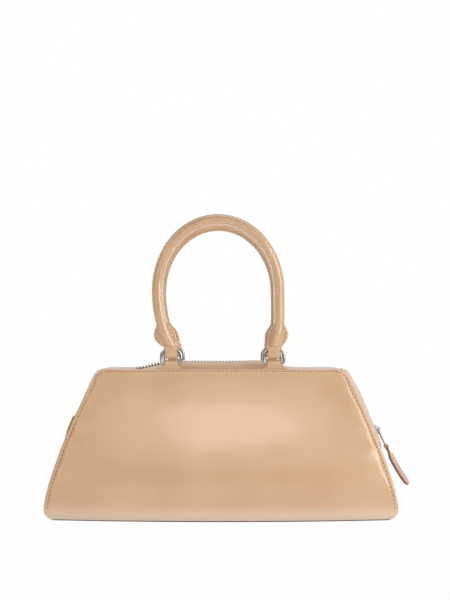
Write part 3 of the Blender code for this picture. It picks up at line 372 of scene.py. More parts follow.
# Meshes
def smooth(mesh, angle):
    mesh.shade_smooth()
    mesh.set_sharp_from_angle(angle=math.radians(angle))


def finish_mesh(bm, name, materials, smooth_angle=50):
    bmesh.ops.recalc_face_normals(bm, faces=bm.faces)
    mesh = bpy.data.meshes.new(name)
    bm.to_mesh(mesh)
    bm.free()
    smooth(mesh, smooth_angle)
    for finish in materials:
        mesh.materials.append(finish)
    return mesh


def link_object(name, data):
    thing = bpy.data.objects.new(name, data)
    bpy.context.scene.collection.objects.link(thing)
    return thing


def place(mesh, body, slot, *nodes):
    """Adds a finished mesh as a piece that rides on a body and stands for some of the solids."""
    piece = link_object(mesh.name, mesh)
    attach(piece, body)
    if nodes:
        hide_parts(*nodes)
    return piece


def leather_sheet(name, outer, wall, flip, materials, first=None, last=None, detail=None, edge_map=None):
    """A closed sheet with rounded, painted edges: an outer grid, and the same grid one wall further in.

    detail moves the outer skin alone along its normals. edge_map gives a place along and a distance
    from the seam for each point, kept as a UV map that the leather's puckers follow.
    """
    normals = grid_normals(outer) * (-1 if flip else 1)
    if first is not None:
        normals[0] = first
    if last is not None:
        normals[-1] = last
    inner = outer - normals * wall
    if detail is not None:
        outer = outer + normals * detail[..., None]
    rows, columns = outer.shape[:2]
    bm = bmesh.new()
    skins = [[[bm.verts.new(p) for p in row] for row in skin] for skin in (outer, inner)]
    index = {}
    for i in range(rows):
        for j in range(columns):
            index[skins[0][i][j]] = index[skins[1][i][j]] = (i, j)
    for skin in skins:
        for i in range(rows - 1):
            for j in range(columns - 1):
                bm.faces.new((skin[i][j], skin[i + 1][j], skin[i + 1][j + 1], skin[i][j + 1]))
    rim = [(i, 0) for i in range(rows)] + [(rows - 1, j) for j in range(1, columns)]
    rim += [(i, columns - 1) for i in range(rows - 2, -1, -1)] + [(0, j) for j in range(columns - 2, 0, -1)]
    rounds = []
    for share in (0.22, 0.78):
        ring = []
        for i, j in rim:
            towards = outer[min(max(i, 1), rows - 2), min(max(j, 1), columns - 2)]
            out = outer[i, j] - towards
            out = out / max(np.linalg.norm(out), 1e-9) * wall * 0.22
            vert = bm.verts.new(outer[i, j] * (1 - share) + inner[i, j] * share + out)
            index[vert] = (i, j)
            ring.append(vert)
        rounds.append(ring)
    loops = [[skins[0][i][j] for i, j in rim], *rounds, [skins[1][i][j] for i, j in rim]]
    for a, b in zip(loops, loops[1:]):
        for k in range(len(rim)):
            n = (k + 1) % len(rim)
            bm.faces.new((a[k], a[n], b[n], b[k])).material_index = min(1, len(materials) - 1)
    if edge_map is not None:
        layer = bm.loops.layers.uv.new("seam")
        for face in bm.faces:
            for loop in face.loops:
                loop[layer].uv = edge_map[index[loop.vert]]
    return finish_mesh(bm, name, materials)


def band(bm, a, b, material_index=0):
    for k in range(len(a)):
        n = (k + 1) % len(a)
        bm.faces.new((a[k], a[n], b[n], b[k])).material_index = material_index


def loft(name, rings, materials, closed=False, caps=True, marks=None):
    """Closed body through rings of points. marks gives a material index for each band."""
    bm = bmesh.new()
    made = [[bm.verts.new(p) for p in ring] for ring in rings]
    pairs = list(zip(made, made[1:] + (made[:1] if closed else [])))
    for k, (a, b) in enumerate(pairs):
        band(bm, a, b, marks[k] if marks else 0)
    if caps and not closed:
        bm.faces.new(made[0])
        bm.faces.new(made[-1])
    return finish_mesh(bm, name, materials)


def tube_rings(path, radius, sides, closed=False, side_axis=SIDE_AXIS, shape=None):
    """Rings round a path in a plane square to side_axis. shape(i, angle) scales the radius."""
    rings = []
    count = len(path)
    for i, p in enumerate(path):
        before = path[i - 1] if closed or i else p
        after = path[(i + 1) % count] if closed or i < count - 1 else p
        out = (Vector(after) - Vector(before)).normalized().cross(side_axis).normalized()
        ring = []
        for k in range(sides):
            a = 2 * math.pi * k / sides
            r = radius * (shape(i, a) if shape else 1)
            ring.append(Vector(p) + (out * math.cos(a) + side_axis * math.sin(a)) * r)
        rings.append(ring)
    return rings


def arc(x, z, radius, turns):
    """Points of an arc about (x, z), at turns in degrees."""
    return [(x + radius * math.cos(a), z + radius * math.sin(a)) for a in map(math.radians, turns)]


def lifted(at, way, lift, depth, hand=1):
    """A point lifted off the outline in the XZ plane, at a depth."""
    return hand * (at[0] + way[0] * lift), depth, at[1] + way[1] * lift


def share_of(value, low, high):
    """Where a value lies from low to high, kept from 0 to 1."""
    return min(max((value - low) / (high - low), 0), 1)


def outward(path):
    """Ways out of a path round the side axis, one for each of its points."""
    ends = zip([path[0], *path[:-1]], [*path[1:], path[-1]])
    return [(after - before).normalized().cross(SIDE_AXIS).normalized() for before, after in ends]


def in_plane(points, y):
    return [Vector((p[0], y, p[1])) for p in points]


def rounded_section(width, thick, corner, steps=4):
    """Points of a rounded rectangle, across and up."""
    points = []
    for sx, sy, first in ((1, 1, 0), (-1, 1, 90), (-1, -1, 180), (1, -1, 270)):
        for k in range(steps + 1):
            a = math.radians(first + 90 * k / steps)
            points.append((sx * (width / 2 - corner) + corner * math.cos(a),
                           sy * (thick / 2 - corner) + corner * math.sin(a)))
    return points


# Materials
def fill(tree, node, inputs):
    """Sets a node's inputs, or links them where the value is a socket."""
    for key, value in inputs.items():
        if isinstance(value, bpy.types.NodeSocket):
            tree.links.new(value, node.inputs[key])
        else:
            node.inputs[key].default_value = value


def add_node(tree, kind, inputs=None, **settings):
    node = tree.nodes.new(kind)
    for key, value in settings.items():
        setattr(node, key, value)
    fill(tree, node, inputs or {})
    return node


def blank_material(name):
    made = bpy.data.materials.new(name)
    made.use_nodes = True
    return made, made.node_tree


def new_material(name):
    made, tree = blank_material(name)
    return made, tree, add_node(tree, "ShaderNodeTexCoord").outputs["Object"]


def dress(tree, inputs, height, relief, depth, coated=False):
    """Sets or links the shader's inputs, and gives it relief from a height."""
    bump = add_node(tree, "ShaderNodeBump", {"Strength": relief, "Distance": depth, "Height": height}).outputs[0]
    normals = {"Normal": bump, "Coat Normal": bump} if coated else {"Normal": bump}
    fill(tree, tree.nodes["Principled BSDF"], {**inputs, **normals})


def colour_mix(tree, factor, low, high, **settings):
    """Mixes two colours; each is a socket, or linear red, green and blue."""
    low, high = (c if isinstance(c, bpy.types.NodeSocket) else (*c, 1) for c in (low, high))
    mix = add_node(tree, "ShaderNodeMix", data_type="RGBA", **settings)
    fill(tree, mix, {"Factor": factor, "A": low, "B": high})
    return mix.outputs["Result"]


def ramp(tree, value, low, high):
    """Maps low..high of a value to 0..1."""
    node = add_node(tree, "ShaderNodeMapRange", {"From Min": low, "From Max": high, "Value": value})
    return node.outputs["Result"]


def noise(tree, vector, scale, detail=2.0, roughness=0.5):
    return add_node(tree, "ShaderNodeTexNoise", {"Scale": scale, "Detail": detail, "Roughness": roughness,
                                                 "Vector": vector}).outputs["Fac"]


def maths(tree, operation, *values, clamp=False):
    node = add_node(tree, "ShaderNodeMath", dict(enumerate(values)), operation=operation, use_clamp=clamp)
    return node.outputs[0]


def darker(colour, share):
    return tuple(c * share for c in colour)


# Leather by its wear: height of its creases and of its swell, roughness, glaze and the glaze's roughness
LEATHER_WEAR = {"glazed": (0.005, 0.03, 0.34, 0.75, 0.13), "rolled": (0.0006, 0.008, 0.27, 1.0, 0.10),
                "worn": (0.005, 0.03, 0.42, 0.42, 0.22)}
CLOUD_SCALE = 14.0      # dye clouds about 70 mm across
SWELL_SCALE = 95.0      # slow waves of 10 mm
GRAIN_SCALE = 1150.0    # cells of 0.9 mm
DIP_REACH = 0.0021
SEAM_TINT = (0.84, 0.78, 0.72)
PAINTED_FLOOR_GLOW = "f0dcc8"         # painted highlight near the base, standing for the white floor's reflection and bounce light
PAINTED_FLOOR_GLOW_HEIGHT = 0.024


def leather_material(name, light, deep, wear="glazed", seam=False):
    """Glazed calf: dyed through, pressed smooth and finished with a clear glaze.

    To the eye: a warm beige with faint cloudy dye, a soft broad gloss from the glaze with clear but slightly
    wavy reflections, and a very fine grain. Rolled leather is drawn tight and polished by the hand, so it is
    glossier and smoother; the gusset's leather is worn duller. Sewn leather also dips and darkens at each stitch.
    """
    creases, waves, roughness, glaze, glaze_roughness = LEATHER_WEAR[wear]
    made, tree, where = new_material(name)
    cloud = noise(tree, where, CLOUD_SCALE)
    colour = colour_mix(tree, ramp(tree, cloud, 0.30, 0.75), light, deep)
    grain = add_node(tree, "ShaderNodeTexVoronoi", {"Scale": GRAIN_SCALE, "Vector": where},
                     feature="DISTANCE_TO_EDGE")
    creases = maths(tree, "MULTIPLY", ramp(tree, grain.outputs["Distance"], 0.0, 0.16), creases)
    height = maths(tree, "ADD", creases, maths(tree, "MULTIPLY", noise(tree, where, SWELL_SCALE), waves))
    # sewn leather also gets the painted floor highlight near the base, in sewn()
    if seam:
        height, colour = sewn(tree, where, height, colour)
    rough = maths(tree, "ADD", maths(tree, "MULTIPLY", cloud, 0.05), roughness)
    dress(tree, {"Base Color": colour, "Roughness": rough, "IOR": 1.48, "Coat Weight": glaze,
                 "Coat Roughness": glaze_roughness, "Coat IOR": 1.5}, height, 0.55, 0.0006, coated=True)
    return made


def sewn(tree, where, height, colour):
    """Adds the dips at the stitches, from the seam's map, and a painted highlight near the base that stands for the
    white floor's reflection.
    """
    sizes = bpy.context.scene.bag_sizes
    run = add_node(tree, "ShaderNodeUVMap", uv_map="seam").outputs["UV"]
    along, off = add_node(tree, "ShaderNodeSeparateXYZ", {"Vector": run}).outputs[:2]
    wave = maths(tree, "COSINE", maths(tree, "MULTIPLY", along, 2 * math.pi / sizes.stitch_pitch))
    off = maths(tree, "ABSOLUTE", maths(tree, "SUBTRACT", off, sizes.stitch_inset))
    near = maths(tree, "SUBTRACT", 1.0, maths(tree, "DIVIDE", off, DIP_REACH), clamp=True)
    height = maths(tree, "ADD", height, maths(tree, "MULTIPLY", near, maths(tree, "MULTIPLY", wave, 0.14)))
    colour = colour_mix(tree, maths(tree, "MULTIPLY", near, 0.35), colour, SEAM_TINT, blend_type="MULTIPLY")
    # painted highlight: the colour turns paler towards the foot, standing for the floor's reflection and bounce
    # light
    low = add_node(tree, "ShaderNodeSeparateXYZ", {"Vector": where}).outputs["Z"]
    floor_glow = maths(tree, "SUBTRACT", 1.0, ramp(tree, low, FOOT_SHADE_HEIGHT, PAINTED_FLOOR_GLOW_HEIGHT))
    floor_glow = maths(tree, "MULTIPLY", maths(tree, "POWER", floor_glow, 1.8), 0.85)
    return height, colour_mix(tree, floor_glow, colour, linear(PAINTED_FLOOR_GLOW))


def edge_material(name, colour, roughness=0.38, coat=0.3):
    """Edge paint on cut leather, rolled on in coats: rounded, half gloss, a little uneven. The same finish also
    carries the painted contact shade at the foot and the painted highlight on the grip seams.
    """
    made, tree, where = new_material(name)
    patch = noise(tree, where, 420.0)
    dress(tree, {"Base Color": colour_mix(tree, ramp(tree, patch, 0.3, 0.7), colour, darker(colour, 0.72)),
                 "Roughness": roughness, "Coat Weight": coat, "Coat Roughness": 0.2}, patch, 0.25, 0.0003)
    return made


def thread_material(name, colour):
    """Waxed linen thread: two plies twisted, with a dull waxy gleam. The twist is drawn 0.5 mm long."""
    made, tree, where = new_material(name)
    twist = add_node(tree, "ShaderNodeTexWave", {"Scale": 620.0, "Distortion": 1.0, "Vector": where},
                     bands_direction="DIAGONAL").outputs["Fac"]
    dress(tree, {"Base Color": colour_mix(tree, twist, darker(colour, 0.45), colour), "Roughness": 0.6,
                 "Sheen Weight": 0.15}, twist, 0.5, 0.0002)
    return made


def metal_material(name, colour):
    """Polished nickel plate: clear mirror reflections, slightly softened, with hairline wiping marks."""
    made, tree, where = new_material(name)
    stretch = add_node(tree, "ShaderNodeMapping", {"Scale": (3500.0, 260.0, 3500.0), "Vector": where})
    marks = noise(tree, stretch.outputs["Vector"], 1.0)
    haze = noise(tree, where, 340.0)
    rough = maths(tree, "ADD", maths(tree, "MULTIPLY", haze, 0.10), 0.05)
    shine = colour_mix(tree, ramp(tree, haze, 0.4, 0.7), colour, darker(colour, 0.86))
    dress(tree, {"Base Color": shine, "Roughness": rough, "Metallic": 1.0}, marks, 0.06, 0.0001)
    return made


def woven_material(name, colour, thread, turn=0, relief=0.6):
    """Woven cloth: crossing threads with dark gaps, matt, with a faint fuzz at glancing angles.

    thread is the spacing of the threads in metres. turn, in degrees, tips the pattern over, as on a zip's tape.
    """
    made, tree, where = new_material(name)
    turned = add_node(tree, "ShaderNodeMapping", {"Rotation": (0.0, 0.0, math.radians(turn)), "Vector": where})
    x, y, z = add_node(tree, "ShaderNodeSeparateXYZ", {"Vector": turned.outputs["Vector"]}).outputs
    turns = 2 * math.pi / thread
    warp = maths(tree, "SINE", maths(tree, "MULTIPLY", maths(tree, "ADD", x, z), turns))
    weft = maths(tree, "SINE", maths(tree, "MULTIPLY", y, turns))
    cross = maths(tree, "MULTIPLY", maths(tree, "MULTIPLY", warp, weft), 0.5)
    height = maths(tree, "ADD", cross, noise(tree, where, 140.0, 3.0))
    cloth = colour_mix(tree, ramp(tree, height, -0.1, 1.0), darker(colour, 0.5), colour)
    dress(tree, {"Base Color": cloth, "Roughness": 0.9, "Sheen Weight": 0.25, "Sheen Roughness": 0.5},
          height, relief, 0.0003)
    return made


def board_material(name, colour):
    """Pressed fibre board: matt brown felted fibres with darker flecks."""
    made, tree, where = new_material(name)
    fleck = noise(tree, where, 900.0, 5.0, 0.7)
    felt = colour_mix(tree, ramp(tree, fleck, 0.35, 0.65), darker(colour, 0.5), colour)
    dress(tree, {"Base Color": felt, "Roughness": 0.92}, fleck, 0.3, 0.0002)
    return made


FINISH = {}


def finishes(context):
    """All materials of the bag, made once."""
    if not FINISH:
        c = context.scene.bag_colours
        calf = (c.leather, c.leather_deep)
        FINISH.update(
            leather=leather_material("glazed_calf_leather", *calf),
            rolled=leather_material("glazed_calf_leather_rolled", *calf, "rolled"),
            panel=leather_material("glazed_calf_leather_sewn", *calf, seam=True),
            gusset=leather_material("glazed_calf_leather_worn", *calf, "worn"),
            # the pull's darker colour is painted shade
            pull=leather_material("glazed_calf_leather_pull", c.pull_leather_shade, c.edge),
            edge=edge_material("leather_edge_paint", c.edge),
            # painted highlight for the bead along the grip seams
            edge_light=edge_material("leather_edge_paint_light", c.edge_light),
            edge_dark=edge_material("leather_edge_paint_dark", c.edge_dark),
            # painted contact shade for the panels' underside by the floor
            foot=edge_material("leather_edge_paint_foot", c.foot, 0.85, 0.0),
            thread=thread_material("waxed_linen_thread", c.thread),
            metal=metal_material("polished_nickel_plate", c.metal),
            tape=woven_material("woven_zip_tape", c.tape, 0.0009, 45),
            lining=woven_material("woven_cotton_lining", c.lining, 0.0008),
            board=board_material("pressed_fibre_board", c.board),
            cord=woven_material("twisted_cotton_cord", c.cord, 0.0011, relief=0.8))
    return FINISH


# Whatever repeats along a line
WOBBLE_SEED = 3


def repeat_tree():
    """Sets a unit piece at an even spacing along each line, its X along the line and its Z on the face way."""
    tree = bpy.data.node_groups.new("repeat_along_lines", "GeometryNodeTree")
    face = tree.interface
    for name, kind in (("Lines", "Geometry"), ("Unit", "Object"), ("Spacing", "Float"), ("Lift", "Float"),
                       ("Wobble", "Float"), ("Finish", "Material")):
        face.new_socket(name, in_out="INPUT", socket_type=f"NodeSocket{kind}")
    face.new_socket("Geometry", in_out="OUTPUT", socket_type="NodeSocketGeometry")

    def step(kind, output, inputs=None, **settings):
        return add_node(tree, kind, inputs, **settings).outputs[output]

    given = add_node(tree, "NodeGroupInput").outputs
    curve = step("GeometryNodeMeshToCurve", "Curve", {"Mesh": given["Lines"]})
    dots = step("GeometryNodeResampleCurve", "Curve", {"Curve": curve, "Length": given["Spacing"]}, mode="LENGTH")
    points = add_node(tree, "GeometryNodeCurveToPoints", {"Curve": dots}, mode="EVALUATED").outputs
    way = step("GeometryNodeInputNamedAttribute", "Attribute", {"Name": "face_way"}, data_type="FLOAT_VECTOR")
    along = step("FunctionNodeAlignRotationToVector", "Rotation", {"Vector": points["Tangent"]}, axis="X")
    turned = step("FunctionNodeAlignRotationToVector", "Rotation", {"Rotation": along, "Vector": way}, axis="Z",
                  pivot_axis="X")
    least = maths(tree, "MULTIPLY", given["Wobble"], -1.0)
    shake = step("FunctionNodeRandomValue", 1, {2: least, 3: given["Wobble"], "Seed": WOBBLE_SEED},
                 data_type="FLOAT")
    spin = step("ShaderNodeCombineXYZ", "Vector", {"Z": shake})
    twist = step("FunctionNodeEulerToRotation", "Rotation", {"Euler": spin})
    rotated = step("FunctionNodeRotateRotation", "Rotation", {"Rotation": turned, "Rotate By": twist},
                   rotation_space="LOCAL")
    unit = step("GeometryNodeObjectInfo", "Geometry", {"Object": given["Unit"]})
    raised = step("ShaderNodeVectorMath", "Vector", {"Vector": way, "Scale": given["Lift"]}, operation="SCALE")
    moved = step("GeometryNodeSetPosition", "Geometry", {"Geometry": points["Points"], "Offset": raised})
    copies = step("GeometryNodeInstanceOnPoints", "Instances",
                  {"Points": moved, "Instance": unit, "Rotation": rotated})
    real = step("GeometryNodeRealizeInstances", "Geometry", {"Geometry": copies})
    done = step("GeometryNodeSetMaterial", "Geometry", {"Geometry": real, "Material": given["Finish"]})
    add_node(tree, "NodeGroupOutput", {"Geometry": done})
    return tree


def repeat_along(name, lines, unit, body, slot, finish, spacing, lift=0.0, wobble=0.0, nodes=()):
    """A plain mesh of copies of a unit piece along lines, each a list of (point, face way)."""
    mesh = bpy.data.meshes.new(name + "_lines")
    points, edges, face_ways = [], [], []
    for line in lines:
        first = len(points)
        points += [tuple(p) for p, _ in line]
        face_ways += [tuple(w) for _, w in line]
        edges += [(first + k, first + k + 1) for k in range(len(line) - 1)]
    mesh.from_pydata(points, edges, [])
    attribute = mesh.attributes.new("face_way", "FLOAT_VECTOR", "POINT")
    attribute.data.foreach_set("vector", np.array(face_ways, np.float32).ravel())
    guide = link_object(name + "_guide", mesh)
    tree = bpy.data.node_groups.get("repeat_along_lines") or repeat_tree()
    change = guide.modifiers.new("repeat", "NODES")
    change.node_group = tree
    values = {"Unit": unit, "Spacing": spacing, "Lift": lift, "Wobble": wobble, "Finish": finish}
    for item in tree.interface.items_tree:
        if item.in_out == "INPUT" and item.name in values:
            change[item.identifier] = values[item.name]
    guide.update_tag()
    bpy.context.view_layer.update()
    graph = bpy.context.evaluated_depsgraph_get()
    made = bpy.data.meshes.new_from_object(guide.evaluated_get(graph))
    bpy.data.objects.remove(guide, do_unlink=True)
    spare = made.attributes.get("face_way")
    if spare:
        made.attributes.remove(spare)
    made.name = name
    smooth(made, 45)
    return place(made, body, slot, *nodes)


def stitch_unit(length, diameter):
    rings = []
    for share in (-0.98, -0.8, -0.4, 0.4, 0.8, 0.98):
        r = diameter / 2 * math.sqrt(1 - share ** 4)
        drop = -diameter * 0.35 * share ** 2
        rings.append([(share * length / 2, r * math.cos(a), drop + r * math.sin(a))
                      for a in np.linspace(0, 2 * math.pi, 8, endpoint=False)])
    return link_object("stitch_unit", loft("stitch_unit", rings, []))


class Builder:
    """What the operators share: each builds one group of pieces."""

    def execute(self, context):
        self.build(BagForm(context), finishes(context))
        return {"FINISHED"}


# Panels
NEAR_EDGE = [0, 0.0004, 0.0009, 0.0015, 0.0021, 0.0027, 0.0033, 0.0039, 0.0045, 0.0054, 0.0066, 0.0082, 0.0102,
             0.0126, 0.0152]    # rows and columns by the panel's edges
PANEL_ROWS = 52
PANEL_STEP = 0.028
TURN_STEPS = 12
# height of the dark band on the panels' underside by the floor: painted contact shade
FOOT_SHADE_HEIGHT = 0.0015
EDGE_ROUND = (0.00042, 0.0016)  # depth and width
GROOVE = (0.00026, 0.0009)
DRAWN = ((0.00075, 0.0026), (0.00120, 0.0034))  # depth and reach of the drawn seam at the left and at the right
WAVES = 0.00030
BASE_WALL = 0.002
BASE_GROOVE = (0.00025, 0.001)
BASE_ROUND = (0.0004, 0.0014)
SAGGING = 0.00012


def spread(length, near, middle_step):
    """Places from 0 to length, close together by both ends as given by near, even in between."""
    span = length - 2 * near[-1]
    count = max(int(span / middle_step), 2)
    middle = [near[-1] + span * k / count for k in range(1, count)]
    return np.array([*near, *middle, *[length - d for d in reversed(near)]])


def panel_detail(form, x, z):
    """Small forms of the panel's face: rounded edge, sewn groove, drawn waves beside it, slow sag."""
    gap, run = form.edge_distance(x, z)
    inset = form.inset(z)
    move = -EDGE_ROUND[0] * np.clip(1 - gap / EDGE_ROUND[1], 0, 1) ** 2
    move -= GROOVE[0] * np.exp(-((gap - inset) / GROOVE[1]) ** 2)
    slant = smooth_step((np.abs(x) - form.s.top_half + 0.006) / 0.010) * smooth_step((z - 0.030) / 0.030)
    depth, reach = (np.where(x > 0, right, left) for left, right in zip(*DRAWN))
    move -= slant * depth * np.where(gap < inset, 1, np.exp(-np.maximum(gap - inset, 0) / reach))
    beside = smooth_step((gap - 0.003) / 0.003) * (1 - smooth_step((gap - 0.008) / 0.010))
    move += WAVES * slant * beside * (np.sin(run / 0.0041) + 0.7 * np.sin(run / 0.0067 + 1.3))
    inside = smooth_step((gap - 0.004) / 0.03)
    return move + SAGGING * inside * np.sin(x * 31 + 0.7 + 9 * z) * np.sin(z * 42 + 2.1 + 6 * x), gap, run


def panel_grid(form, side):
    s = form.s
    near = np.array(NEAR_EDGE)
    drop = s.body_height - s.under_radius
    heights = s.body_height - np.concatenate([near, np.linspace(near[-1], drop, PANEL_ROWS)[1:]])
    shares = spread(2.0, list(near / s.base_half), PANEL_STEP) - 1
    reach = np.abs(shares) * s.base_half
    from_edge = s.base_half - reach
    rows = []
    for z in heights:
        half = float(form.half_length(z))
        # by the ends the columns keep a fixed distance from the edge
        x = np.where(from_edge <= near[-1] + 1e-9, half - from_edge,
                     reach / (s.base_half - near[-1]) * (half - near[-1])) * np.sign(shares)
        rows.append(np.stack([x, side * form.face_depth(x, z), np.full_like(x, z)], 1))
    base_x = rows[-1][:, 0]
    for inset, z in form.under_turn(TURN_STEPS):
        x = base_x * (s.base_half - inset) / s.base_half
        y = side * (form.face_depth(base_x, s.under_radius) - inset)
        rows.append(np.stack([x, y, np.full_like(x, z)], 1))
    return np.array(rows)


class HANDBAG_OT_panels(Builder, bpy.types.Operator):
    """Builds the front and rear panels with their sewn edges and the curl under the base"""
    bl_idname = "handbag.panels"
    bl_label = "Panels"

    def build(self, form, finish):
        for side, word in SIDE_WORDS:
            points = panel_grid(form, side)
            move, gap, run = panel_detail(form, points[..., 0], points[..., 2])
            fade = smooth_step(points[..., 2] / form.s.under_radius)
            seam = np.stack([run, gap - form.inset(points[..., 2]) + form.s.stitch_inset], -1)
            mesh = leather_sheet(f"{word}_panel_leather", points, form.s.panel_wall, side > 0,
                                 [finish["panel"], finish["edge"], finish["foot"]], first=(0, side, 0),
                                 last=(0, 0, -1), detail=move * fade, edge_map=seam)
            # faces by the floor take the dark foot colour: painted contact shade, where the base seam also lies
            for face in mesh.polygons:
                if face.center.z < FOOT_SHADE_HEIGHT:
                    face.material_index = 2
            place(mesh, "shell", "calf_leather", f"{word}_panel")


class HANDBAG_OT_base(Builder, bpy.types.Operator):
    """Builds the leather base panel and gives the board inside its finish"""
    bl_idname = "handbag.base"
    bl_label = "Base"

    def build(self, form, finish):
        s = form.s
        half = s.base_half - s.under_radius - CLEAR
        x = spread(2 * half, [0, 0.0006, 0.0014, 0.0024, 0.0036, 0.005], 0.006) - half
        edge = form.face_depth(x / half * s.base_half, s.under_radius) - s.under_radius - CLEAR
        share = spread(2.0, [0, 0.008, 0.02, 0.04, 0.06, 0.09], 0.09) - 1
        rows = np.array([[(px, v * pe, 0) for px, pe in zip(x, edge)] for v in share])
        gap = np.minimum(half - np.abs(rows[..., 0]), edge[None] - np.abs(rows[..., 1]))
        groove = -BASE_GROOVE[0] * np.exp(-((gap - s.stitch_inset) / BASE_GROOVE[1]) ** 2)
        groove -= BASE_ROUND[0] * np.clip(1 - gap / BASE_ROUND[1], 0, 1) ** 2
        mesh = leather_sheet("base_leather", rows, BASE_WALL, False, [finish["leather"], finish["edge"]],
                             detail=groove)
        place(mesh, "shell", "calf_leather", "base_panel")
        board = frame["nodes"]["base_board"].data.materials
        board.clear()
        board.append(finish["board"])


# Gusset
SLOT_SHARES = (*np.linspace(0, 0.8, 15), 0.86, 0.9, 0.93, 0.95, 0.965, 0.98, 0.99, 1.0)
COVER_LENGTH = 0.0225
COVER_HALF = 0.008
COVER_WALL = 0.0014
ACROSS_COVER = (-1, -0.93, -0.85, -0.75, -0.6, -0.4, -0.2, 0, 0.2, 0.4, 0.6, 0.75, 0.85, 0.93, 1)
SIDE_FOLD = 0.0006
STRIP_INSET = 0.0026    # of the stitches beside the zip
SIDE_INSET = 0.0032     # of the stitches across the side gussets
TURNED_EDGE = (0.00035, 0.0052, 0.0012)     # height, width and run of the strips' turned edge
STRIP_GROOVE = (0.0003, 0.0007)             # depth and width
STRIP_RIM = (0.0004, 0.0012)
SIDE_GROOVE = (0.0003, 0.0009)
RIPPLE = 0.0004                             # of the strips at the corners


def bend(edge, first, last):
    """Eighths of the quarter turn from a gusset's flange to its face."""
    turns = (math.pi / 2 * k / 8 for k in range(first, last))
    return [(edge - BEND * (1 - math.cos(a)), -BEND * (1 - math.sin(a))) for a in turns]


def gusset_section(form, x, z):
    """Depth and lift of the points across a gusset strip, from the hidden flange to the zip's slot."""
    edge = float(form.crown_start(x, z)) + BEND
    start, slot_half = edge - BEND, form.h.slot / 2
    row = [(edge + float(form.belly(x * 0.95, max(z - FLANGE, 0))) * 0.5 - CLEAR, -FLANGE), (edge, -0.0055),
           (edge, -BEND), *bend(edge, 1, 8)]
    proud = float(form.zip_proud(x, z) - form.sag(x))
    for t in SLOT_SHARES:
        depth = start + (slot_half - start) * t
        lift = proud * (1 - (depth / start) ** 2)
        from_slot = depth - slot_half
        lift += TURNED_EDGE[0] * smooth_step((TURNED_EDGE[1] - from_slot) / TURNED_EDGE[2])
        lift -= STRIP_GROOVE[0] * math.exp(-((from_slot - STRIP_INSET) / STRIP_GROOVE[1]) ** 2)
        lift -= STRIP_RIM[0] * max(1 - from_slot / STRIP_RIM[1], 0) ** 2
        row.append((depth, lift))
    return row


def strip_rows(form, points, out, side):
    rows = []
    for i, (at, way) in enumerate(zip(points, out)):
        row, (x, z) = [], at
        corner = math.exp(-((z - form.centre_z + 0.004) / 0.016) ** 2)
        corner *= 1 if z < form.s.body_height - CLEAR else 0.5
        for depth, lift in gusset_section(form, x, z):
            t = share_of(depth - form.h.slot / 2, 0, 0.04)
            ripple = RIPPLE * corner * math.sin(i * 0.9) * math.sin(math.pi * t) ** 2
            row.append(lifted(at, way, lift + ripple, side * depth))
        rows.append(row)
    return np.array(rows)


def side_proud(form, z, hand):
    """How far the side gusset stands out at a height, its share of the fold, and the fold's fading at the foot."""
    base = (PROUD_RIGHT if hand > 0 else PROUD_LEFT) - END_SETTLE
    climb = ZIP_END - form.s.under_radius
    share = float(smooth_step((ZIP_END - z) / (0.35 * climb)))
    recover = float(smooth_step((z - form.s.under_radius) / (0.5 * climb)))
    return base * (1 - share) - DENT * share * recover, share, recover


def side_rows(form, hand):
    """Side gusset below the zip's end: it folds in a little and turns under the base."""
    s = form.s
    points = [(float(form.half_length(z)), z) for z in np.linspace(ZIP_END - 3 * CLEAR, s.under_radius, 34)]
    points = np.array(points + [(s.base_half - inset, z) for inset, z in form.under_turn(8)])
    rows = []
    for at, way in zip(points, ways(points)):
        z = at[1]
        proud, share, recover = side_proud(form, z, hand)
        edge = float(form.edge_depth(z)) - s.panel_wall - CLEAR
        start = edge - BEND
        low, high = (BEND + CLEAR, BEND * 0.95) if z < s.under_radius else (FLANGE, 0.0045)
        half = [(edge, -low), (edge, -high), *bend(edge, 0, 9)]
        for t in np.linspace(0, 1, 18)[1:]:
            depth = start * (1 - t)
            fold = SIDE_FOLD * math.sin(depth * 260 + z * 60) * recover * share * math.sin(math.pi * t)
            seam = -SIDE_GROOVE[0] * math.exp(-((ZIP_END - z - SIDE_INSET) / SIDE_GROOVE[1]) ** 2)
            half.append((depth, proud * (1 - (depth / start) ** 2) + fold + seam))
        row = [lifted(at, way, lift, -depth, hand) for depth, lift in half]
        rows.append(row + [lifted(at, way, lift, depth, hand) for depth, lift in reversed(half[:-1])])
    return np.array(rows)


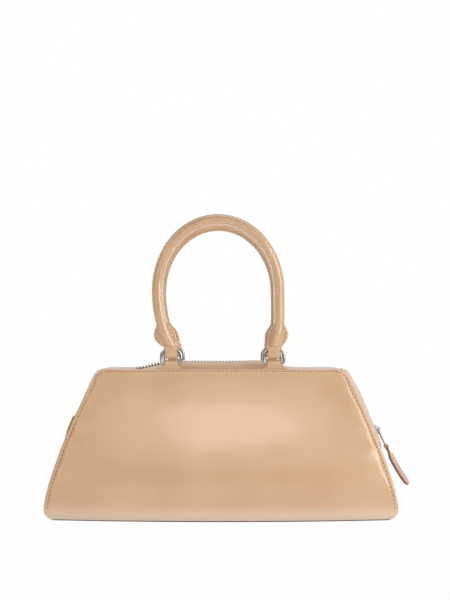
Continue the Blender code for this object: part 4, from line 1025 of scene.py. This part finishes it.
class HANDBAG_OT_gusset(Builder, bpy.types.Operator):
    """Builds the two strips beside the zip, the side gussets below its ends and the cover on its blind end"""
    bl_idname = "handbag.gusset"
    bl_label = "Gusset"

    def build(self, form, finish):
        wall, leather = form.s.gusset_wall, [finish["gusset"], finish["edge"]]
        points, out = form.zip_stations()
        for side, word in SIDE_WORDS:
            rows = strip_rows(form, points, out, side)
            mesh = leather_sheet(f"{word}_gusset_leather", rows, wall, side > 0, leather)
            place(mesh, "shell", "calf_leather", f"{word}_gusset_strip")
        for hand, word in HAND_WORDS:
            mesh = leather_sheet(f"{word}_side_leather", side_rows(form, hand), wall, hand < 0, leather,
                                 last=(0, 0, -1))
            place(mesh, "shell", "calf_leather", f"{word}_side_gusset")
        mesh = leather_sheet("zip_end_leather", self.end_cover(form), COVER_WALL, False, leather[:1] * 2)
        place(mesh, "shell", "calf_leather", "zip_end_cover")

    def end_cover(self, form):
        foot, head = (np.array([-float(form.half_length(z)), z]) for z in (ZIP_END, ZIP_SHOULDER))
        along = (head - foot) / np.linalg.norm(head - foot)
        way = (-along[1], along[0])
        rows = []
        for share in np.linspace(0, 1, 16):
            z = ZIP_END + CLEAR + COVER_LENGTH * share
            x = -float(form.half_length(z))
            proud = CLEAR + COVER_WALL + END_PROUD * float(smooth_step(share * 2))
            half = COVER_HALF * math.sqrt(1 - (0.55 * share) ** 2)
            rows.append([lifted((x, z), way, float(form.crown_lift(x, z, v * half)) + proud, v * half)
                         for v in ACROSS_COVER])
        return np.array(rows)


# Zip
TOOTH = (0.0019, 0.0031, 0.0024)    # along the zip, across it and high
TOOTH_LIFT = 0.0019
TOOTH_OFFSET = 0.00085
TAPE_WIDTH = 0.011


class HANDBAG_OT_zip(Builder, bpy.types.Operator):
    """Builds the zip's tapes and its two rows of meshed teeth, and finishes the bottom stop"""
    bl_idname = "handbag.zip"
    bl_label = "Zip chain"

    def build(self, form, finish):
        self.tapes(form, finish)
        points, out = form.ridge(-form.s.gusset_wall - CLEAR - TAPE_WALL)
        lines = []
        for side, skipped in ((-1, 2), (1, 3)):
            line = [((p[0], side * TOOTH_OFFSET, p[1]), (n[0], 0, n[1])) for p, n in zip(points, out)]
            lines.append(line[skipped:-skipped])
        unit = self.tooth()
        repeat_along("zip_teeth_metal", lines, unit, "shell", "polished_steel", finish["metal"], form.h.tooth_pitch,
                     lift=TOOTH_LIFT, nodes=("zip_teeth",))
        bpy.data.objects.remove(unit, do_unlink=True)
        soften("zip_end_stop", finish["metal"], "shell", 0.0003)

    def tapes(self, form, finish):
        points, out = form.zip_stations()
        slot = form.h.slot / 2
        near, far = form.h.teeth_width / 2 - 0.0009, form.h.teeth_width / 2 + TAPE_WIDTH
        for side, word in SIDE_WORDS:
            rows = []
            for at, way in zip(points, out):
                row = []
                for depth in (far, 0.0095, 0.0072, slot, 0.0042, 0.0033, 0.0026, near):
                    lift = float(form.crown_lift(*at, max(depth, slot))) - form.s.gusset_wall - CLEAR
                    lift -= TAPE_DROOP * share_of(depth, slot, far)
                    lift += float(form.sag(at[0])) * share_of(-depth, -slot, -near)
                    row.append(lifted(at, way, lift, side * depth))
                rows.append(row)
            mesh = leather_sheet(f"{word}_tape_cloth", np.array(rows), TAPE_WALL, side > 0, [finish["tape"]])
            tape = place(mesh, "shell", "zip_tape", f"{word}_zip_tape")

    def tooth(self):
        """One cast tooth: a clamp on the tape's edge and a rounded head that meets the other side's."""
        length, width, height = TOOTH
        rings = []
        for y, wide, tall in ((-0.5, 0.7, 0.72), (-0.44, 1.0, 0.92), (-0.1, 1.0, 1.0), (0.1, 1.0, 1.0),
                              (0.44, 1.0, 0.92), (0.5, 0.7, 0.72)):
            section = rounded_section(length * wide * 0.86, height * tall, 0.0005, 2)
            rings.append([(a, y * width, b) for a, b in section])
        return link_object("tooth_unit", loft("tooth_unit", rings, []))


def soften(node, finish, body, width, segments=2):
    """A copy of a small solid with its edges rounded, which then stands for it."""
    bm = bmesh.new()
    bm.from_mesh(frame["nodes"][node].data)
    bmesh.ops.remove_doubles(bm, verts=bm.verts, dist=1e-6)
    bmesh.ops.dissolve_limit(bm, angle_limit=math.radians(3), verts=bm.verts, edges=bm.edges)
    edges = [e for e in bm.edges if len(e.link_faces) == 2 and e.calc_face_angle() > math.radians(35)]
    bmesh.ops.bevel(bm, geom=edges, offset=width, segments=segments, affect="EDGES", clamp_overlap=True)
    bmesh.ops.triangulate(bm, faces=[f for f in bm.faces if len(f.verts) > 4])
    place(finish_mesh(bm, node + "_metal", [finish], 35), body, "polished_steel", node)


# Slider, link and pull
JOINTS = {joint["name"]: Vector(joint["pos_m"]) for joint in frame["joints"] if "pos_m" in joint}
PULL_DOWN = Vector((math.sin(PULL_LEAN), 0, -math.cos(PULL_LEAN)))
PULL_FACE = Vector((-PULL_DOWN.z, 0, PULL_DOWN.x))
PULL_STATIONS = (0.0006, 0.0016, 0.003, 0.005, 0.0066, 0.0082, 0.010, 0.012, 0.016, 0.021, 0.026, 0.031, 0.0345,
                 0.0365, 0.0385, 0.0405, 0.0422, 0.0436, 0.0448, 0.0454)
PULL_TWIST = math.radians(25)
PULL_SAG = 0.0012
NECK_SWELL = 0.0012     # thickness that the folded neck adds


def pull_frame(t):
    """Centre, way across, way out, half width and thickness of the pull at a distance from its pin.

    The leather has taken a slow twist and a slight sag with use.
    """
    length = PULL_LENGTH - LINK_WIRE / 2 - CLEAR - PULL_LEATHER
    half = PULL_NECK / 2 + (PULL_WIDTH - PULL_NECK) / 2 * float(smooth_step((t - 0.0045) / 0.0058))
    half *= min(1, math.sqrt(max((length - t) / 0.0075, 0.0)) * 0.96 + 0.12)
    thick = 2 * PULL_LEATHER + NECK_SWELL * math.exp(-((t - 0.001) / 0.003) ** 2)
    turn = PULL_TWIST * float(smooth_step((t - 0.003) / 0.010))
    centre = JOINTS["pull_swing"] + PULL_DOWN * t - PULL_FACE * (PULL_SAG * math.sin(math.pi * t / length))
    return (centre, SIDE_AXIS * math.cos(turn) + PULL_FACE * math.sin(turn),
            PULL_FACE * math.cos(turn) - SIDE_AXIS * math.sin(turn), half, thick)


def paint_edges(mesh, axis, least):
    """Paints the faces that turn to an axis."""
    for face in mesh.polygons:
        if abs(face.normal.dot(axis)) > least:
            face.material_index = 1


class HANDBAG_OT_pull(Builder, bpy.types.Operator):
    """Builds the zip's slider, its wire link and the folded leather pull"""
    bl_idname = "handbag.pull"
    bl_label = "Slider and pull"

    def build(self, form, finish):
        soften("zip_slider", finish["metal"], "slider", 0.0004, segments=3)
        soften("zip_slider_wing", finish["metal"], "slider", 0.0003)
        pivot, pin = JOINTS["link_swing"], JOINTS["pull_swing"]
        along = (pin - pivot).normalized()
        far, wide = LINK_LENGTH - LINK_WIRE - LINK_CORNER, (LINK_WIDTH - LINK_WIRE) / 2 - LINK_CORNER
        corners = ((far, wide, 0), (far, -wide, 90), (LINK_CORNER, -wide, 180), (LINK_CORNER, wide, 270))
        path = [pivot + along * u + SIDE_AXIS * v for at_u, at_v, first in corners
                for v, u in arc(at_v, at_u, LINK_CORNER, range(first, first + 91, 15))]
        rings = tube_rings(path, LINK_WIRE / 2, 16, True, along.cross(SIDE_AXIS).normalized())
        place(loft("link_wire", rings, [finish["metal"]], closed=True), "link", "polished_steel", "zip_link")
        rings = []
        for t in PULL_STATIONS:
            centre, across, up, half, thick = pull_frame(t)
            section = rounded_section(2 * half, thick, min(thick * 0.42, half * 0.8), 5)
            rings.append([centre + across * a + up * b for a, b in section])
        leaf = loft("pull_leather", rings, [finish["pull"], finish["edge_dark"]])
        paint_edges(leaf, SIDE_AXIS, 0.72)
        place(leaf, "pull", "calf_leather", "zip_pull")
        mid = LINK_WIRE / 2 + CLEAR + PULL_LEATHER / 2
        path = [pin + PULL_FACE * (mid * math.cos(a)) - PULL_DOWN * (mid * math.sin(a))
                for a in np.linspace(-0.55 * math.pi, 1.55 * math.pi, 30)]
        section = rounded_section(PULL_NECK, PULL_LEATHER, PULL_LEATHER * 0.4, 3)
        rings = [[p + SIDE_AXIS * a + out * b for a, b in section] for p, out in zip(path, outward(path))]
        place(loft("pull_loop", rings, [finish["pull"]]), "pull", "calf_leather")


# Rings and chapes
RING_FOOT = 0.0026
RING_SHOULDER = 0.0080
ACROSS_CHAPE = (-1, -0.94, -0.85, -0.7, -0.5, -0.25, 0, 0.25, 0.5, 0.7, 0.85, 0.94, 1)


class HANDBAG_OT_rings(Builder, bpy.types.Operator):
    """Builds the D-rings and the folded chapes that hold them"""
    bl_idname = "handbag.rings"
    bl_label = "Rings and chapes"

    def build(self, form, finish):
        for side, word in SIDE_WORDS:
            for (_, hand_word), at in zip(HAND_WORDS, form.chapes):
                rings = tube_rings(self.ring_path(form, at, side), form.h.wire / 2, 20, True)
                place(loft(f"{word}_ring_{hand_word}", rings, [finish["metal"]], closed=True), f"{word}_rings",
                      "polished_steel", f"{word}_d_ring_{hand_word}")
                mesh = leather_sheet(f"{word}_chape_leather_{hand_word}", self.chape(form, at, side),
                                     CHAPE_LEATHER * 0.97, side < 0, [finish["leather"], finish["edge"]])
                place(mesh, "shell", "calf_leather", f"{word}_chape_{hand_word}")

    def ring_path(self, form, at, side):
        half = (form.h.ring_width - form.h.wire) / 2
        path = arc(half - RING_FOOT, form.bar_z + RING_FOOT, RING_FOOT, range(-90, 1, 15))
        path += arc(half - RING_SHOULDER, form.arc_z - RING_SHOULDER, RING_SHOULDER, range(0, 91, 9))
        path += [(-x, z) for x, z in reversed(path)]
        return [Vector((at + x, side * form.bar_y, z)) for x, z in path]

    def chape(self, form, at, side):
        """Strap folded round the bar: the skin runs up the front, over the bar and down the back."""
        head = form.h.wire / 2 + CLEAR + CHAPE_LEATHER
        low, neck = form.s.body_height - CHAPE_TAIL, form.bar_z - head * 1.25
        profile = [(CHAPE_LEATHER, z) for z in np.linspace(low, neck, 16)]
        profile += arc(0, form.bar_z, head, np.linspace(-40, 220, 28))
        profile += [(-CHAPE_LEATHER, z) for z in np.linspace(neck, low, 16)]
        rows = []
        for y, z in profile:
            flare = (1 - share_of(z - form.s.body_height, 0, CHAPE_FLARE)) ** 1.8
            half = CHAPE_FOLD / 2 + (CHAPE_SEAM - CHAPE_FOLD) / 2 * flare
            rows.append([(at + v * half, side * (form.bar_y + y), z) for v in ACROSS_CHAPE])
        return np.array(rows)


# Handles
GRIP_LEATHER = 0.0014
CORE_RADIUS = 0.0038
SEAM_TURN = 0.72
SEAM_BEAD = 0.0007
STRAP_SPREAD = 0.24
STRAP_NECK = 0.0004
WING_HALF = 0.00165                 # half thickness of a tab's wings
TAB_TALL = (0.0049, 0.0013, 0.0006) # half thickness at the strap, its gain above it and its loss by the grip
TAB_RIDGE = (0.0060, 0.0004)        # half width of the round middle, and its loss by the grip
TAB_RIM = 14                        # power that rounds the wings' rim
TAB_SIDES = 24
TAB_WIDTHS = (   # place from the strap to the grip; outer wing at the left, at the right, and inner wing, in mm
    (0.0, 9.4, 8.3, 7.5), (0.08, 10.4, 9.0, 7.9), (0.2, 11.4, 9.8, 8.6), (0.32, 11.8, 10.5, 9.3),
    (0.42, 11.8, 10.9, 9.7), (0.52, 11.6, 11.0, 9.7), (0.62, 11.2, 10.8, 9.2), (0.7, 10.6, 10.2, 8.4),
    (0.77, 9.7, 9.2, 7.4), (0.84, 8.4, 7.8, 6.5), (0.9, 7.0, 6.5, 5.9), (1.0, 5.7, 5.6, 5.6))


def tab_half(t, edge, hand):
    """Half width of an end tab on its outer or inner wing; edge is the side of the wing."""
    column = 3 if edge != hand else 1 if hand < 0 else 2
    return float(np.interp(t, [row[0] for row in TAB_WIDTHS], [row[column] for row in TAB_WIDTHS])) / 1000


def tab_frame(form, hand, t):
    """Middle of an end tab, and the way across it: level at the strap, square to the handle at the top."""
    line = form.side_line(hand)
    (x, z), (ax, az) = line(TAB_SHARE * t), line(TAB_SHARE * (t + 0.01))
    step, share = math.hypot(ax - x, az - z), float(smooth_step(t / 0.85))
    return x, z, Vector((1 + ((az - z) / step - 1) * share, 0, -(ax - x) / step * share)).normalized()


class HANDBAG_OT_handles(Builder, bpy.types.Operator):
    """Builds the rolled grips, their leaf-shaped end tabs with strap loops, and the cords inside"""
    bl_idname = "handbag.handles"
    bl_label = "Handles"

    def build(self, form, finish):
        line, radius = form.grip_line(), form.h.grip / 2
        seam_line = line - ways(line) * (radius * 1.03 * math.cos(SEAM_TURN))
        for side, word in SIDE_WORDS:
            y, body = side * form.bar_y, f"{word}_handle"
            path = in_plane(line, y)
            rings = tube_rings(path, radius, 48, shape=self.seam_shape(side))
            inner = tube_rings(path, radius - GRIP_LEATHER, 48)
            place(loft(f"{word}_grip_leather", rings + inner[::-1], [finish["rolled"]], closed=True), body,
                  "calf_leather", f"{word}_handle_grip")
            seam = tube_rings(in_plane(seam_line, y + side * math.sin(SEAM_TURN) * radius), SEAM_BEAD, 10)
            # the seam bead is painted in a light cream: a painted highlight along the grip
            place(loft(f"{word}_grip_seam", seam, [finish["edge_light"]]), body, "calf_leather")
            core = tube_rings(path, CORE_RADIUS, 18, shape=lambda i, a: 0.93 + 0.07 * math.cos(3 * (a - i * 0.35)))
            place(loft(f"{word}_cord_core", core, [finish["cord"]]), body, "cord", f"{word}_handle_core")
            for (hand, hand_word), foot in zip(HAND_WORDS, form.chapes):
                mesh = loft(f"{word}_tab_leather_{hand_word}", self.tab_rings(form, hand, y),
                            [finish["rolled"], finish["edge_dark"]])
                self.paint_tab(form, hand, mesh)
                place(mesh, body, "calf_leather", f"{word}_handle_tab_{hand_word}")
                loop = loft(f"{word}_strap_loop_{hand_word}", self.loop_rings(form, foot, y),
                            [finish["leather"], finish["edge_dark"]], closed=True)
                paint_edges(loop, Vector((1, 0, 0)), 0.75)
                place(loop, body, "calf_leather")

    def seam_shape(self, side):
        """The rolled leather overlaps in a low step, on the outer face of the arch's inside."""
        def shape(i, a):
            away = a - math.pi + side * SEAM_TURN
            return 1 + 0.035 * math.exp(-(math.atan2(math.sin(away), math.cos(away)) / 0.2) ** 2)
        return shape

    def tab_rings(self, form, hand, y):
        """A leaf of leather wrapped over the handle's end: round in the middle, flat sewn wings at the sides."""
        rings = []
        for t in (*np.linspace(0, 0.9, 24), 0.94, 0.97, 1.0):
            x, z, across = tab_frame(form, hand, t)
            tall, gain, loss = TAB_TALL
            tall = tall + gain * float(smooth_step(t * 1.6)) - loss * float(smooth_step((t - 0.5) / 0.5))
            ridge = TAB_RIDGE[0] - TAB_RIDGE[1] * float(smooth_step((t - 0.6) / 0.4))
            ring = []
            for sign in (1, -1):
                for k in range(TAB_SIDES):
                    a = math.pi * (k + 0.5) / TAB_SIDES
                    half = tab_half(t, 1 if math.cos(a) * sign > 0 else -1, hand)
                    c = half * math.cos(a) * sign
                    round_up = tall * math.sqrt(max(1 - (c / ridge) ** 2, 0))
                    flat = WING_HALF * (1 - (abs(c) / half) ** TAB_RIM) ** 0.5
                    lift = (round_up ** 3 + flat ** 3) ** (1 / 3)
                    ring.append(Vector((x, y, z)) + across * c + SIDE_AXIS * lift * sign)
            rings.append(ring)
        return rings

    def paint_tab(self, form, hand, mesh):
        """Dark paint on the cut rim of an end tab's wings."""
        line = form.side_line(hand)
        for face in mesh.polygons:
            if abs(face.normal.y) < 0.45 and len(face.vertices) == 4:
                x, t = face.center.x, (face.center.z - (form.arc_z + EYE_HEAD)) / (TAB_LENGTH * 0.98)
                middle = float(line(TAB_SHARE * share_of(t, 0, 1))[0])
                if abs(x - middle) > tab_half(t, 1 if x > middle else -1, hand) * 0.93:
                    face.material_index = 1

    def loop_rings(self, form, foot, y):
        """The strap round the ring's arc, wider where it meets the tab."""
        half, head = EYE_HALF + STRAP_WALL / 2, EYE_HEAD + STRAP_WALL / 2
        path = [(half * math.cos(a), form.arc_z + head * math.sin(a)) for a in np.linspace(0, math.pi, 14)]
        path += arc(0, form.arc_z - EYE_DROP + EYE_HALF, half, np.linspace(180, 360, 18))
        section = rounded_section(form.h.strap, STRAP_WALL, 0.0005, 3)
        rings = []
        for i, (py, pz) in enumerate(path):
            (by, bz), (ay, az) = path[i - 1], path[(i + 1) % len(path)]
            out = Vector((0, az - bz, by - ay)).normalized()
            wide = 1 + STRAP_SPREAD * float(smooth_step((pz - form.arc_z + STRAP_NECK) / (STRAP_NECK + EYE_HEAD)))
            rings.append([Vector((foot + a * wide, y + py, pz)) + out * b for a, b in section])
        return rings


# Stitches: lines of points, each with the way that the stitch faces
WING_INSET = 0.0022
PULL_INSET = 0.0016
GRIP_TURN = -0.45
SLOPE_STEP = 0.001
PANEL_LIFT, STRIP_LIFT, SIDE_LIFT, BASE_LIFT = 0.00014, 0.00005, -0.00025, 0.0004   # off the surface
GRIP_LIFT, PULL_LIFT, WING_LIFT = 0.00002, -0.00005, 0.00172    # the last one from the tab's middle


def panel_line(form, side):
    """Stitch line of a panel, beside its sewn edge."""
    points = form.edge_points
    flat = points - ways(points) * form.inset(points[:, 1])[:, None]
    moves = panel_detail(form, flat[:, 0], flat[:, 1])[0]
    line = []
    for (x, z), move in zip(flat, moves):
        if z < form.s.under_radius + FOOT_SHADE_HEIGHT:
            continue
        dx, dz = (float(form.face_depth(x + a, z + b) - form.face_depth(x - a, z - b)) / (2 * SLOPE_STEP)
                  for a, b in ((SLOPE_STEP, 0), (0, SLOPE_STEP)))
        depth = side * (float(form.face_depth(x, z) + move) + PANEL_LIFT)
        line.append(((x, depth, z), Vector((-dx, side, -dz)).normalized()))
    return line


def strip_line(form, side):
    points, out = form.zip_stations()
    depth = form.h.slot / 2 + STRIP_INSET
    return [(lifted(at, way, float(form.crown_lift(*at, depth)) + STRIP_LIFT, side * depth),
             (way[0], 0, way[1])) for at, way in zip(points[1:-1], out[1:-1])]


def side_seam_line(form, hand):
    z = ZIP_END - SIDE_INSET
    at = (float(form.half_length(z)), z)
    edge = float(form.edge_depth(z)) - form.s.panel_wall - CLEAR - BEND
    dx = float(form.half_length(z - SLOPE_STEP) - form.half_length(z + SLOPE_STEP))
    length = math.hypot(dx, 2 * SLOPE_STEP)
    way = (2 * SLOPE_STEP / length, dx / length)
    proud = side_proud(form, z, hand)[0]
    return [(lifted(at, way, proud * (1 - (y / edge) ** 2) + SIDE_LIFT, y, hand), (hand * way[0], 0, way[1]))
            for y in np.linspace(BEND - edge, edge - BEND, 50)]


def base_lines(form):
    s = form.s
    half = s.base_half - s.under_radius - CLEAR - s.stitch_inset
    lines = []
    for side in (-1, 1):
        x = np.linspace(-half, half, 90)
        edge = form.face_depth(x / half * s.base_half, s.under_radius) - s.under_radius - s.stitch_inset
        lines.append([((px, side * py, BASE_LIFT), (0, 0, -1)) for px, py in zip(x, edge)])
    edge = float(form.edge_depth(s.under_radius)) - s.under_radius - s.stitch_inset
    return lines + [[((side * half, y, BASE_LIFT), (0, 0, -1)) for y in np.linspace(-edge, edge, 30)]
                    for side in (-1, 1)]


def tab_line(form, side, hand, face, edge):
    """A short row on one face of an end tab's wing."""
    line = []
    for t in np.linspace(0.24, 0.80, 12):
        x, z, across = tab_frame(form, hand, t)
        half = (tab_half(t, edge, hand) - WING_INSET) * edge
        y = side * form.bar_y + face * WING_LIFT
        line.append(((x + across.x * half, y, z + across.z * half), (0, face, 0)))
    return line


def grip_line(form, side):
    """One row beside the seam, on the inside of the rolled grip and turned to the other handle."""
    path = form.grip_line()
    line = []
    for (x, z), (nx, nz) in zip(path[2:-2], ways(path)[2:-2]):
        way = Vector((-nx * math.cos(GRIP_TURN), side * math.sin(GRIP_TURN), -nz * math.cos(GRIP_TURN)))
        line.append((Vector((x, side * form.bar_y, z)) + way * (form.h.grip / 2 + GRIP_LIFT), way))
    return line


def pull_line(face, edge):
    line = []
    for t in np.linspace(0.0115, 0.0355, 16):
        centre, across, up, half, thick = pull_frame(t)
        way = up * face
        line.append((centre + across * edge * (half - PULL_INSET) + way * (thick / 2 + PULL_LIFT), way))
    return line


class HANDBAG_OT_stitches(Builder, bpy.types.Operator):
    """Sews every seam that shows: panels, gussets, base, end tabs, grips and the zip pull"""
    bl_idname = "handbag.stitches"
    bl_label = "Stitches"

    def build(self, form, finish):
        s, both = form.s, (-1, 1)
        unit = stitch_unit(s.stitch_pitch * 0.44, s.thread)
        fine = stitch_unit(0.0021, s.thread * 0.85)
        shell = [make(form, side) for make in (panel_line, strip_line, side_seam_line) for side in both]
        # name, lines, stitch, body, pitch, lift and wobble
        rows = [("shell_stitches", shell + base_lines(form), unit, "shell", s.stitch_pitch, 0.00008, 0.06)]
        for side, word in SIDE_WORDS:
            body, grip = f"{word}_handle", [grip_line(form, side)]
            tabs = [tab_line(form, side, hand, face, edge) for hand in both for face in both for edge in both]
            rows += [(f"{word}_tab_stitches", tabs, fine, body, 0.0034, 0.00008, 0.08),
                     (f"{word}_grip_stitches", grip, fine, body, 0.0040, 0.00005, 0.05)]
        pull = [pull_line(face, edge) for face in both for edge in both]
        rows.append(("pull_stitches", pull, fine, "pull", 0.0034, 0.00005, 0.06))
        for name, lines, stitch, body, pitch, lift, wobble in rows:
            repeat_along(name, lines, stitch, body, "calf_leather", finish["thread"], pitch, lift, wobble)
        for thing in (unit, fine):
            bpy.data.objects.remove(thing, do_unlink=True)


class HANDBAG_OT_inside(Builder, bpy.types.Operator):
    """Builds the two halves of the cotton lining"""
    bl_idname = "handbag.inside"
    bl_label = "Lining"

    def build(self, form, finish):
        for _, word in SIDE_WORDS:
            bm = bmesh.new()
            bm.from_mesh(frame["nodes"][f"{word}_lining"].data)
            bmesh.ops.remove_doubles(bm, verts=bm.verts, dist=1e-6)
            bmesh.ops.join_triangles(bm, faces=bm.faces, angle_face_threshold=0.6, angle_shape_threshold=0.6)
            for v in bm.verts:
                v.co.z -= float(form.sag(v.co.x) * smooth_step((v.co.z - 0.12) / 0.02))
            mesh = finish_mesh(bm, f"{word}_lining_cloth", [finish["lining"]], 60)
            lining = place(mesh, "shell", "lining_cloth", f"{word}_lining")


# Stage
def seen_rays(tree):
    """1 for what the camera sees, straight or in mirror-like and clear surfaces."""
    rays = add_node(tree, "ShaderNodeLightPath").outputs
    mirrored = maths(tree, "MAXIMUM", rays["Is Glossy Ray"], rays["Is Transmission Ray"])
    return maths(tree, "MAXIMUM", rays["Is Camera Ray"], mirrored)


def camera_white(tree, shader_socket, share):
    """Mixes a share of plain white into what the camera sees."""
    white = add_node(tree, "ShaderNodeEmission", {"Color": (1, 1, 1, 1), "Strength": 1.0}).outputs[0]
    share = maths(tree, "MULTIPLY", seen_rays(tree), share)
    return add_node(tree, "ShaderNodeMixShader", {"Fac": share, 1: shader_socket, 2: white}).outputs[0]


def area_lamp(name, at, size, radiance, aim=None, hidden=False):
    """A soft box that faces the bag; hidden is for one that lights it and isn't seen."""
    data = bpy.data.lights.new(name, "AREA")
    data.shape = "RECTANGLE"
    data.size, data.size_y = size
    data.energy = radiance * math.pi * size[0] * size[1]
    lamp = link_object(name, data)
    lamp.location = at
    lamp.rotation_euler = (Vector(aim or from_bag(0, 0, 0)) - Vector(at)).to_track_quat("-Z", "Y").to_euler()
    if hidden:
        lamp.visible_camera = lamp.visible_glossy = False


def from_bag(distance, azimuth, elevation):
    """A point in front of the bag, azimuth to the right and elevation up in degrees."""
    a, e = math.radians(azimuth), math.radians(elevation)
    return (distance * math.sin(a) * math.cos(e), -0.06 - distance * math.cos(a) * math.cos(e),
            0.09 + distance * math.sin(e))


# Dark cards that the gloss and the metal reflect: distance, azimuth, elevation, width and height, and grey
CARDS = (("front", 2.6, 0, 4, (2.8, 0.50), 0.03), ("upper", 2.0, 0, 64, (2.4, 1.0), 0.03),
         ("left", 1.9, -72, 10, (1.3, 1.6), 0.03), ("right", 1.8, 98, 10, (0.8, 1.5), 0.05),
         ("back_top", 1.7, 180, 42, (2.2, 0.9), 0.05), ("brow", 0.43, 0, 56.5, (0.5, 0.14), 0.03))
# Soft boxes: distance, azimuth, elevation, width and height, radiance, and whether they only light
LAMPS = (("front_box", 1.8, 3.5, 26.3, (0.72, 0.36), 3.2, False),
         ("right_box", 1.8, 27, 31, (0.5, 0.7), 0.6, False),
         ("right_strip", 1.7, 43, 18, (0.24, 1.0), 9.0, False),
         ("right_wing", 1.7, 62, 18, (0.26, 1.0), 3.8, False),
         ("back_box_left", 2.0, -128, 30, (0.9, 1.2), 3.8, True),
         ("back_box_right", 2.0, 128, 30, (0.9, 1.2), 3.8, True),
         ("low_fill", 1.6, 0, 0, (1.6, 0.17), 5.0, True),
         ("left_fill", 2.0, -38, 35, (0.9, 0.9), 1.1, False))
TOP_BOX = 0.7
WORLD_LEVEL = 0.40
FLOOR_GREY = 0.94
FLOOR_WHITE = 0.98
CAMERA_DISTANCE = 1.6
SENSOR = 36             # mm
VIEW_HEIGHT = 0.6       # metres in view at the bag's front, one for each pixel's millimetre
VIEW_PIXELS = 600


class HANDBAG_OT_stage(bpy.types.Operator):
    """Sets the floor, the studio lamps, the dark cards that the gloss reflects, and the camera"""
    bl_idname = "handbag.stage"
    bl_label = "Stage"

    def execute(self, context):
        scene = context.scene
        scene.view_settings.view_transform = "Standard"
        scene.world = world = scene.world or bpy.data.worlds.new("studio")
        world.use_nodes = True
        tree = world.node_tree
        tree.nodes.clear()
        level = maths(tree, "ADD", maths(tree, "MULTIPLY", seen_rays(tree), 1.0 - WORLD_LEVEL), WORLD_LEVEL)
        back = add_node(tree, "ShaderNodeBackground", {"Color": (1, 1, 1, 1), "Strength": level})
        add_node(tree, "ShaderNodeOutputWorld", {"Surface": back.outputs[0]})
        floor = self.plane("floor", (0, 0, 0), (0, 0, 1), (6, 6), "paper_sweep", FLOOR_GREY, FLOOR_WHITE)
        cards = [self.plane(f"{name}_card", from_bag(*spot), from_bag(0, 0, 0), size, f"{name}_card_cloth", grey)
                 for name, *spot, size, grey in CARDS]
        for card in cards:
            card.visible_camera = False
        for name, *spot, size, radiance, hidden in LAMPS:
            area_lamp(name, from_bag(*spot), size, radiance, hidden=hidden)
        area_lamp("top_box", (0.1, -0.1, 1.7), (1.8, 1.4), TOP_BOX, aim=(0, 0, 0))
        data = bpy.data.cameras.new("camera")
        data.sensor_width = SENSOR
        data.lens = SENSOR * CAMERA_DISTANCE / VIEW_HEIGHT
        data.shift_y = 31 / VIEW_PIXELS
        data.clip_end = 50
        scene.camera = link_object("camera", data)
        scene.camera.location = (0.004, -0.052 - CAMERA_DISTANCE, 0.1906)
        scene.camera.rotation_euler = (math.pi / 2, 0, 0)
        return {"FINISHED"}

    def plane(self, name, at, aim, size, finish, grey, white=0):
        """A flat card that faces a point, as wide and high as size; white is for what the camera sees."""
        bm = bmesh.new()
        way = (Vector(aim) - Vector(at)).normalized()
        side = way.cross(Vector((0, 0, 1))) if abs(way.z) < 0.99 else Vector((1, 0, 0))
        side.normalize()
        up = side.cross(way).normalized()
        corners = [Vector(at) + side * size[0] / 2 * a + up * size[1] / 2 * b
                   for a, b in ((-1, -1), (1, -1), (1, 1), (-1, 1))]
        face = bm.faces.new([bm.verts.new(c) for c in corners])
        face.normal_update()
        if face.normal.dot(way) < 0:
            face.normal_flip()
        mesh = bpy.data.meshes.new(name)
        bm.to_mesh(mesh)
        bm.free()
        made, tree = blank_material(finish)
        shader = tree.nodes["Principled BSDF"]
        fill(tree, shader, {"Base Color": (grey, grey, grey, 1), "Roughness": 0.9})
        if white:
            fill(tree, tree.nodes["Material Output"], {"Surface": camera_white(tree, shader.outputs[0], white)})
        mesh.materials.append(made)
        return link_object(name, mesh)


OPERATORS = (HANDBAG_OT_panels, HANDBAG_OT_base, HANDBAG_OT_gusset, HANDBAG_OT_zip, HANDBAG_OT_pull,
             HANDBAG_OT_rings, HANDBAG_OT_handles, HANDBAG_OT_stitches, HANDBAG_OT_inside, HANDBAG_OT_stage)


class HANDBAG_PT_sidebar(bpy.types.Panel):
    """The handbag's sizes, colours and the buttons that build its pieces"""
    bl_idname = "HANDBAG_PT_sidebar"
    bl_label = "Handbag"
    bl_space_type = "VIEW_3D"
    bl_region_type = "UI"
    bl_category = "Handbag"

    def draw(self, context):
        for group in (context.scene.bag_sizes, context.scene.bag_hardware, context.scene.bag_colours):
            box = self.layout.box()
            for name in group.bl_rna.properties.keys():
                if name not in ("rna_type", "name"):
                    box.prop(group, name)
        for operator in OPERATORS:
            self.layout.operator(operator.bl_idname)


CLASSES = (BagSizes, BagHardware, BagColours, *OPERATORS, HANDBAG_PT_sidebar)


def register():
    for cls in CLASSES:
        bpy.utils.register_class(cls)
    bpy.types.Scene.bag_sizes = PointerProperty(type=BagSizes)
    bpy.types.Scene.bag_hardware = PointerProperty(type=BagHardware)
    bpy.types.Scene.bag_colours = PointerProperty(type=BagColours)


def unregister():
    for name in ("bag_sizes", "bag_hardware", "bag_colours"):
        delattr(bpy.types.Scene, name)
    for cls in reversed(CLASSES):
        bpy.utils.unregister_class(cls)


def main():
    register()
    for operator in OPERATORS:
        group, name = operator.bl_idname.split(".")
        getattr(getattr(bpy.ops, group), name)()


if __name__ == "__main__":
    main()
